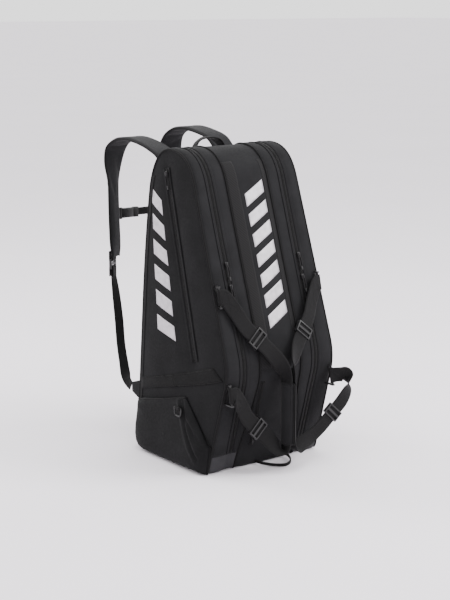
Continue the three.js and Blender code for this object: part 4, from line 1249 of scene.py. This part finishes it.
def shoulder_straps():
    pads = []
    for side, sign in SIDES:
        crest = 749 if side == "left" else 766
        body = NODE_BODY[f"{side}_shoulder_pad"]
        at, across = stations(pad_rows(crest), sign)
        frames = ribbon_frames(at, across, 96)
        # facing points away from the bag on the pad's outer side
        outer = 1 if frames[60][2].y > 0 else -1
        length = frames[-1][3]
        end = lambda d: min(1.0, 0.35 + math.sqrt(max(length - d, 0) / 0.035))
        wide = lambda d: 60.5 * MM * (1 - 0.3 * (1 - min(1.0, (length - d) / 0.05)) ** 2)
        pad = paint(ribbon(f"{side}_shoulder_cushion", frames, wide, lambda d: 8.2 * MM * end(d), 14), STRAP_CLOTH)
        pads.append((pad, body, "strap_fabric", (f"{side}_shoulder_pad",), 15, 4 * MM, 0.7))
        for edge in (-1, 1):
            line = [p + s * (edge * wide(d) / 2) for p, s, _, d in frames]
            name = f"{side}_pad_binding_{'in' if edge > 0 else 'out'}"
            place(paint(tube(name, line, 2.0 * MM), BINDING), body, "piping")
        # a strip of webbing down the outside, tacked at even steps
        start = next(i for i, fr in enumerate(frames) if fr[0].y > 0.325)
        spine = []
        for p, s, f, d in frames[start:92]:
            rise = 3.0 + 3.4 * smooth((d - frames[start][3]) / (14 * MM))
            spine.append((p + f * (outer * rise * MM), s, f, d))
        strip = paint(ribbon(f"{side}_pad_spine", spine, 19 * MM, 1.6 * MM, 6), WEBBING)
        place(strip, body, "webbing")
        lines = []
        for first in range(0, len(spine) - 6, 8):
            p, s, f, _ = spine[first]
            across = np.linspace(-1, 1, 6)
            lines.append([(p + s * (u * 8 * MM) + f * (outer * 1.2 * MM), f * outer) for u in across])
        for u in (-1, 1):
            lines.append([(p + s * (u * 8 * MM) + f * (outer * 1.2 * MM), f * outer) for p, s, f, _ in spine])
            lines.append([
                (p + s * (u * (wide(d) / 2 - 5 * MM)) + f * (outer * 4.2 * MM), f * outer)
                for p, s, f, d in frames[6:92]
            ])
        for at_root in (16, 18):
            p, s, f, _ = frames[at_root]
            across = np.linspace(-1, 1, 12)
            lines.append([(p + s * (u * 27 * MM) + f * (outer * 4.4 * MM), f * outer) for u in across])
        thread(f"{side}_pad_stitching", body, lines)
        # a small cord loop on the outer face
        spot = next(i for i, fr in enumerate(frames) if fr[0].y > 0.3 and fr[0].z < 0.64)
        p, s, f, _ = frames[spot]
        q = frames[spot + 3][0]
        down = (q - p).normalized()
        loop = [
            p + f * (outer * (9.5 + 3.5 * math.sin(t)) * MM) + s * (9 * MM * math.cos(t))
            + down * (16 * MM * math.sin(t))
            for t in np.linspace(0, 2 * math.pi, 33)[:-1]
        ]
        place(paint(tube(f"{side}_pad_cord_loop", loop, 1.5 * MM, 10, closed=True), CORD), body, "webbing")

        centre = (Vector(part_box(f"{side}_ladder_lock")[0]) + Vector(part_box(f"{side}_ladder_lock")[1])) / 2
        turn = Vector(pad_across(438, crest)) * Vector((-sign, 1, 1))
        facing = turn.cross(Vector((0, 0, 1))).normalized()
        loops = []
        for bars, way in (((10.5, 0.5), 1), ((-10.5, -0.5), -1)):
            # a fold of webbing round one bar of the lock, and its two tails
            bar = centre + Vector((0, 0, bars[0] * MM))
            spots = []
            for t in np.linspace(0, math.pi, 15):
                drop = Vector((0, 0, -way * 4.6 * MM * math.sin(t)))
                spots.append(bar + facing * (4.6 * MM * math.cos(t)) + drop)
            tail = Vector((0, 0, way * 22 * MM))
            line = [spots[0] + tail * k for k in (1, 0.66, 0.33)] + spots
            line += [spots[-1] + tail * k for k in (0.33, 0.66, 1)]
            fold, travelled = [], 0.0
            for i, p in enumerate(line):
                along = (line[min(i + 1, len(line) - 1)] - line[max(i - 1, 0)]).normalized()
                travelled += (p - line[i - 1]).length if i else 0
                fold.append((p, turn, along.cross(turn).normalized(), travelled))
            loops.append(paint(ribbon("fold", fold, 24 * MM, 1.7 * MM, 5), WEBBING))
        place(join(f"{side}_lock_webbing", loops), NODE_BODY[f"{side}_ladder_lock"], "webbing")

        rows = [
            (-96, 348, 404, pad_across(438, crest)), (-100, 328, 340, (1, 0.1, 0)),
            (-107, 306, 278, (1, -0.1, 0)),
            (-116, 286, 226, (0.95, 0, 0.1)), (-127, 258, 184, (0.8, 0.2, 0.45)),
            (-138, 228, 147, (0.4, 0.2, 0.8)),
            (-142, 203, 134, (0.1, 0, 1)),
        ]
        at, across = stations(rows, sign)
        low = ribbon_frames(at, across, 70)
        name = f"{side}_strap_webbing"
        webbing = paint(ribbon(f"{side}_adjuster_webbing", low, NARROW_WIDTH, 2.0 * MM, 6), WEBBING)
        place(webbing, NODE_BODY[name], "webbing", name)
        boxes = [box_stitch(low, 60, 68, NARROW_WIDTH, lift) for lift in (1.2 * MM, -1.2 * MM)]
        thread(f"{side}_adjuster_stitching", NODE_BODY[name], boxes[0] + boxes[1])
        strap_tab(side, sign)
    return pads


def strap_tab(side, sign):
    """A folded triangle of shell cloth, stuffed flat, between the back corner and the webbing."""
    rows, uv = [], []
    count = 18
    for i in range(count + 1):
        v = i / count
        root, tip = lerp(96, 168, v), lerp(134 - 12.5, 134 + 12.5, v)
        y0 = depth("back", root * MM) / MM + 1
        ring, marks = [], []
        for face in (1, -1):
            for j in range(15):
                u = j / 14 if face > 0 else 1 - j / 14
                y, z = lerp(y0, 197, u), lerp(root, tip, u)
                fat = 0.5 + 1.5 * (crown_of(v, 4) * crown_of(0.15 + 0.7 * u, 4))
                ring.append(Vector((-sign * (-141.5 + face * fat), y, z)) * MM)
                marks.append((y * MM, z * MM, 0))
        rows.append(ring)
        uv.append(marks)
    tab = paint(face_out(grid(f"{side}_tab_cloth", rows, closed_columns=True, cloth_uv=uv, caps=True)), SHELL)
    place(tab, NODE_BODY[f"{side}_strap_tab"], "shell_fabric", f"{side}_strap_tab")


def yoke_and_loops():
    rows, uv = [], []
    for s in spread(length_at("back", BACK_TOP - 4 * MM), length_at("back", BACK_TOP - 46 * MM), 0.004):
        y, z = on_outline(s)
        ny, nz = outward(s)
        xs = np.linspace(-0.118, 0.118, 40)
        rows.append([Vector((x, y + 3.0 * MM * ny, z + 3.0 * MM * nz)) for x in xs])
        uv.append([(z, x, 0) for x in xs])
    yoke = cloth(grid("yoke_cloth", rows, cloth_uv=uv), WEBBING, WEBBING, (0, 1, 0), 2.4 * MM)
    place(yoke, NODE_BODY["strap_yoke"], "webbing", "strap_yoke")
    lines = []
    for z in (0.641, 0.6745):
        y, _ = on_outline(length_at("back", z))
        lines.append([(Vector((x, y + 3.2 * MM, z)), (0, 1, 0)) for x in np.linspace(-0.114, 0.114, 40)])
    thread("yoke_stitching", NODE_BODY["strap_yoke"], lines)

    rows = []
    for share in (-1, -0.96, -0.7, 0, 0.7, 0.96, 1):
        rise = 30 * math.sqrt(1 - min(1, share * share) * 0.999)
        rows.append((share * 42, 66 + 0.15 * rise, 730 + rise, (0, 1, -0.5 * abs(share))))
    at, across = stations(rows)
    frames = ribbon_frames(at, across, 60)
    strap = paint(ribbon("haul_loop_webbing", frames, NARROW_WIDTH, 2.8 * MM, 6), WEBBING)
    place(strap, NODE_BODY["haul_loop"], "webbing", "haul_loop")

    wall = depth("front", 8.5 * MM) / MM - 3.5
    rows = []
    for t in (0, 0.06, 0.25, 0.5, 0.75, 0.94, 1):
        bow = math.sin(math.pi * t) ** 0.6
        rows.append((-28 + 94 * t, wall - 60 * bow, 8.5 - 3 * bow, (0, 0.1, 1)))
    at, across = stations(rows)
    frames = ribbon_frames(at, across, 60)
    loop = paint(ribbon("base_loop_webbing", frames, 7.8 * MM, 2.2 * MM, 6), WEBBING)
    place(loop, NODE_BODY["base_loop"], "webbing", "base_loop")
    lines = []
    for u in (-1, 1):
        for way in (-1, 1):
            lines.append([(p + s * (u * 2.6 * MM) + f * (way * 1.2 * MM), f * way) for p, s, f, _ in frames])
    thread("base_loop_stitching", NODE_BODY["base_loop"], lines)

    low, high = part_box("sternum_webbing")
    middle = (low.z + high.z) / 2
    frames = []
    for x in np.linspace(low.x, high.x, 24):
        frames.append((Vector((x, (low.y + high.y) / 2, middle)), Vector((0, 0, 1)), Vector((0, 1, 0)), x - low.x))
    strip = paint(ribbon("sternum_strip", frames, 19.6 * MM, 1.5 * MM, 6), WEBBING)
    place(strip, NODE_BODY["sternum_webbing"], "webbing", "sternum_webbing")


# ---- Hardware ------------------------------------------------------------------------------------


def softened(node, width, material, slot, piece=None):
    """A moulded part: the CAD part's shape, with its edges rounded."""
    mesh = frame["nodes"][node].data.copy()
    obj = link(piece or f"{node}_moulded", mesh)
    bm = bmesh.new()
    bm.from_mesh(mesh)
    bmesh.ops.remove_doubles(bm, verts=bm.verts, dist=1e-6)
    bmesh.ops.dissolve_limit(bm, angle_limit=math.radians(3), verts=bm.verts, edges=bm.edges)
    bm.to_mesh(mesh)
    bm.free()
    for polygon in mesh.polygons:
        polygon.use_smooth = True
    bevel(obj, width, 2, 28)
    mesh = obj.data
    mesh.set_sharp_from_angle(angle=math.radians(40))
    paint(obj, material)
    return place(obj, NODE_BODY[node], slot, node)


SLIDER_SHAPE = (
    (-4.4, 6.2), (-1.6, 6.8), (1.6, 6.8), (4.4, 6.2), (3.5, 0), (2.7, -6.4), (-2.7, -6.4), (-3.5, 0),
)


def slider_frame(node):
    """A slider's own axes: its origin, the way it faces, the way across it and the way up the zip."""
    if node == "front_pocket_slider":
        s = length_at("front", 0.1)
        low, high = on_outline(length_at("front", 0.062)), on_outline(length_at("front", 0.215))
        rise = Vector((0, *(high - low))).normalized()
        out = Vector((0, -rise.z, rise.y))
        return Vector((-0.052, *on_outline(s))) + out * 2.6 * MM, out, rise
    sign = -1 if node.startswith("left") else 1
    if "pocket" in node:
        y, z = lerp(ZIP_TOP, ZIP_FOOT, 0.03)
        rise = Vector((0, *(ZIP_TOP - ZIP_FOOT))).normalized()
        return Vector((sign * (half_width(z) + 2.6 * MM), y, z)), Vector((sign, 0, 0)), rise
    z = 0.49 if "upper" in node else 0.44
    rise = Vector((0, 0.3094, 0.9509))
    out = Vector((0, -rise.z, rise.y))
    return Vector((sign * ZIP_LINE, depth("front", z), z)) + out * 2.6 * MM, out, rise


def zip_slider(node, body):
    """A slider: a wedge-shaped body, a bridge over it, and a loop of cord with a moulded end."""
    at, out, rise = slider_frame(node)
    across = out.cross(rise).normalized()
    point = lambda x, y, z: at + (out * x + across * y + rise * z) * MM
    rows = []
    for x, grow in ((0.0, 0.86), (0.9, 1.0), (3.6, 1.0), (4.8, 0.8)):
        ring = []
        for y, z in SLIDER_SHAPE:
            ring.append(point(x, y * grow, z * grow))
        rows.append(ring)
    wedge = face_out(grid("wedge", rows, closed_columns=True, caps=True))
    bevel(wedge, 0.5 * MM, 2, 25)
    arch = [point(4.2 + 3.0 * math.sin(t), 0, 4.6 * math.cos(t)) for t in np.linspace(0, math.pi, 15)]
    bridge = tube("bridge", arch, 1.1 * MM, 10)
    place(paint(join(f"{node}_body", [wedge, bridge]), SLIDER_METAL), body, "slider_metal", node)
    loop = []
    for t in np.linspace(0, 2 * math.pi, 41)[:-1]:
        half = 3.1 * abs(math.sin(t)) ** 0.6 * (1 if math.sin(t) > 0 else -1)
        loop.append(point(5.4, half, -18.5 + 15.5 * math.cos(t)))
    cord = paint(tube("cord", loop, 1.15 * MM, 10, closed=True), CORD)
    tip = paint(tube("tip", [point(5.4, 0, z) for z in np.linspace(-28.5, -36.5, 8)], 2.2 * MM, 12), PLASTIC)
    place(join(f"{node}_pull", [cord, tip]), body, "hardware")


def hardware():
    for side, _ in SIDES:
        for node in ("upper_glide", "lower_glide", "ladder_lock", "sternum_carriage"):
            softened(f"{side}_{node}", 0.7 * MM, PLASTIC, "hardware")
        for node in ("upper_anchor", "lower_anchor"):
            softened(f"{side}_{node}", 0.5 * MM, PLASTIC, "hardware")
        for node in ("upper_slider", "lower_slider", "side_pocket_slider"):
            zip_slider(f"{side}_{node}", NODE_BODY[f"{side}_{node}"])
    zip_slider("front_pocket_slider", NODE_BODY["front_pocket_slider"])
    softened("sternum_socket", 1.2 * MM, PLASTIC, "hardware")
    softened("sternum_tongue", 0.6 * MM, PLASTIC, "hardware")

    x, y, z = -0.18643, -0.060, 0.146
    body = NODE_BODY["d_ring"]
    bar = [Vector((x, y + t, z)) for t in np.linspace(-13.5, 13.5, 12) * MM]
    turns = np.array(((-13, 0), (-13, -9), (-9, -18), (9, -18), (13, -9), (13, 0))) * MM
    bow = [Vector((x, y + a, z + b)) for a, b in turns]
    curve = [catmull(bow, t) for t in np.linspace(0, 1, 40)]
    ring = join("d_ring_moulded", [tube("bar", bar, 1.6 * MM, 14), tube("bow", curve, 1.7 * MM, 14)])
    place(paint(ring, PLASTIC), body, "hardware", "d_ring")
    low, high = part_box("d_ring_tab")
    frames = []
    for k in range(25):
        turn = math.pi * (0.08 + 1.84 * k / 24)
        frames.append((
            Vector((x + 3.0 * MM * math.cos(turn), y, z + 3.0 * MM * math.sin(turn))), Vector((0, 1, 0)),
            Vector((math.cos(turn), 0, math.sin(turn))), 3 * MM * turn,
        ))
    wrap = paint(ribbon("wrap", frames, 19 * MM, 1.2 * MM, 5), WEBBING)
    tail = []
    for t in np.linspace(0, 1, 8):
        at = Vector((high.x - 0.9 * MM, y, lerp(z + 1 * MM, low.z + 1 * MM, t)))
        tail.append((at, Vector((0, 1, 0)), Vector((-1, 0, 0)), t * 0.02))
    tail = paint(ribbon("tail", tail, 20 * MM, 1.4 * MM, 5), WEBBING)
    place(join("d_ring_tab_webbing", [wrap, tail]), NODE_BODY["d_ring_tab"], "webbing", "d_ring_tab")


# ---- Stuffing ------------------------------------------------------------------------------------


SOLVER_FRAMES = 20
SOLVER = dict(
    quality=6, mass=0.3, tension_stiffness=20, compression_stiffness=20,
    shear_stiffness=8, bending_stiffness=0.6,
    use_pressure=True, uniform_pressure_force=4, vertex_group_mass="seams",
)


def stuff(pads):
    """Blows the padding up inside its seams, all in one run of the cloth solver, then fixes the shapes."""
    scene = bpy.context.scene
    starts = {}
    for obj, _, _, _, pinned, _, _ in pads:
        if isinstance(pinned, int):
            ring = 2 * (pinned + 1)
            rims = [pinned, ring - 1]
            count = len(obj.data.vertices) // ring
            held = [i * ring + j for i in range(count) for j in rims]
            held += list(range(ring)) + list(range((count - 1) * ring, count * ring))
        else:
            held = pinned
        group = obj.vertex_groups.new(name="seams")
        group.add(sorted(set(held)), 1.0, "REPLACE")
        made = obj.modifiers.new("stuffing", "CLOTH")
        for setting, value in SOLVER.items():
            setattr(made.settings, setting, value)
        made.settings.effector_weights.gravity = 0
        made.point_cache.frame_start, made.point_cache.frame_end = 1, SOLVER_FRAMES
        starts[obj.name] = np.array([tuple(v.co) for v in obj.data.vertices])
    for step in range(1, SOLVER_FRAMES + 1):
        scene.frame_set(step)
    graph = bpy.context.evaluated_depsgraph_get()
    shapes = {}
    for obj, *_ in pads:
        shapes[obj.name] = np.array([tuple(v.co) for v in obj.evaluated_get(graph).data.vertices])
    for obj, _, _, _, _, cap, _ in pads:
        moved = shapes[obj.name] - starts[obj.name]
        length = np.linalg.norm(moved, axis=1, keepdims=True)
        moved *= np.minimum(1, cap / np.maximum(length, 1e-9))
        obj.modifiers.clear()
        obj.vertex_groups.clear()
        obj.data.vertices.foreach_set("co", (starts[obj.name] + moved).ravel())
        obj.data.update()
    scene.frame_set(1)
    for obj, body, slot, nodes, _, _, fill in pads:
        subdivide(obj)
        place(obj, body, slot, *nodes)


# ---- Studio --------------------------------------------------------------------------------------


def area_light(name, at, towards, size, energy):
    data = bpy.data.lights.new(name, "AREA")
    data.shape, data.size, data.energy = "SQUARE", size, energy
    light = bpy.data.objects.new(name, data)
    bpy.context.scene.collection.objects.link(light)
    light.location = at
    light.rotation_euler = (Vector(towards) - Vector(at)).to_track_quat("-Z", "Y").to_euler()


FLOOR_HALF = 60.0
SKY = 1.9
LENS, SENSOR = 84.14, 36
CAMERA_AT, CAMERA_AIM = (-2.032, -2.638, 1.085), (0, 0, 0.371)


def studio():
    marks = np.linspace(-FLOOR_HALF, FLOOR_HALF, 9)
    rows = [[Vector((x, y, 0)) for x in marks] for y in marks]
    floor = paint(grid("floor", rows), floor_paper())
    world = bpy.data.worlds.new("studio")
    bpy.context.scene.world = world
    world.use_nodes = True
    sky = world.node_tree.nodes["Background"].inputs
    sky["Color"].default_value, sky["Strength"].default_value = (1, 1, 1, 1), SKY
    area_light("key", (2.2, -2.4, 2.6), (0, 0, 0.35), 1.6, 130)
    area_light("rim", (-1.2, 2.2, 2.2), (0, 0, 0.5), 1.2, 45)
    area_light("top", (0.2, -0.6, 3.0), (0, 0, 0.4), 1.8, 40)
    data = bpy.data.cameras.new("camera")
    data.lens, data.sensor_width, data.sensor_fit = LENS, SENSOR, "AUTO"
    camera = bpy.data.objects.new("camera", data)
    bpy.context.scene.collection.objects.link(camera)
    camera.location = CAMERA_AT
    camera.rotation_euler = (Vector(CAMERA_AIM) - Vector(CAMERA_AT)).to_track_quat("-Z", "Y").to_euler()
    bpy.context.scene.camera = camera


front_shell()
front_marks()
front_pocket()
side_covers()
back_hinges()
side_band()
shoe_pocket()
padding = back_and_base() + carry_handles() + shoulder_straps()
yoke_and_loops()
hardware()
stuff(padding)
studio()
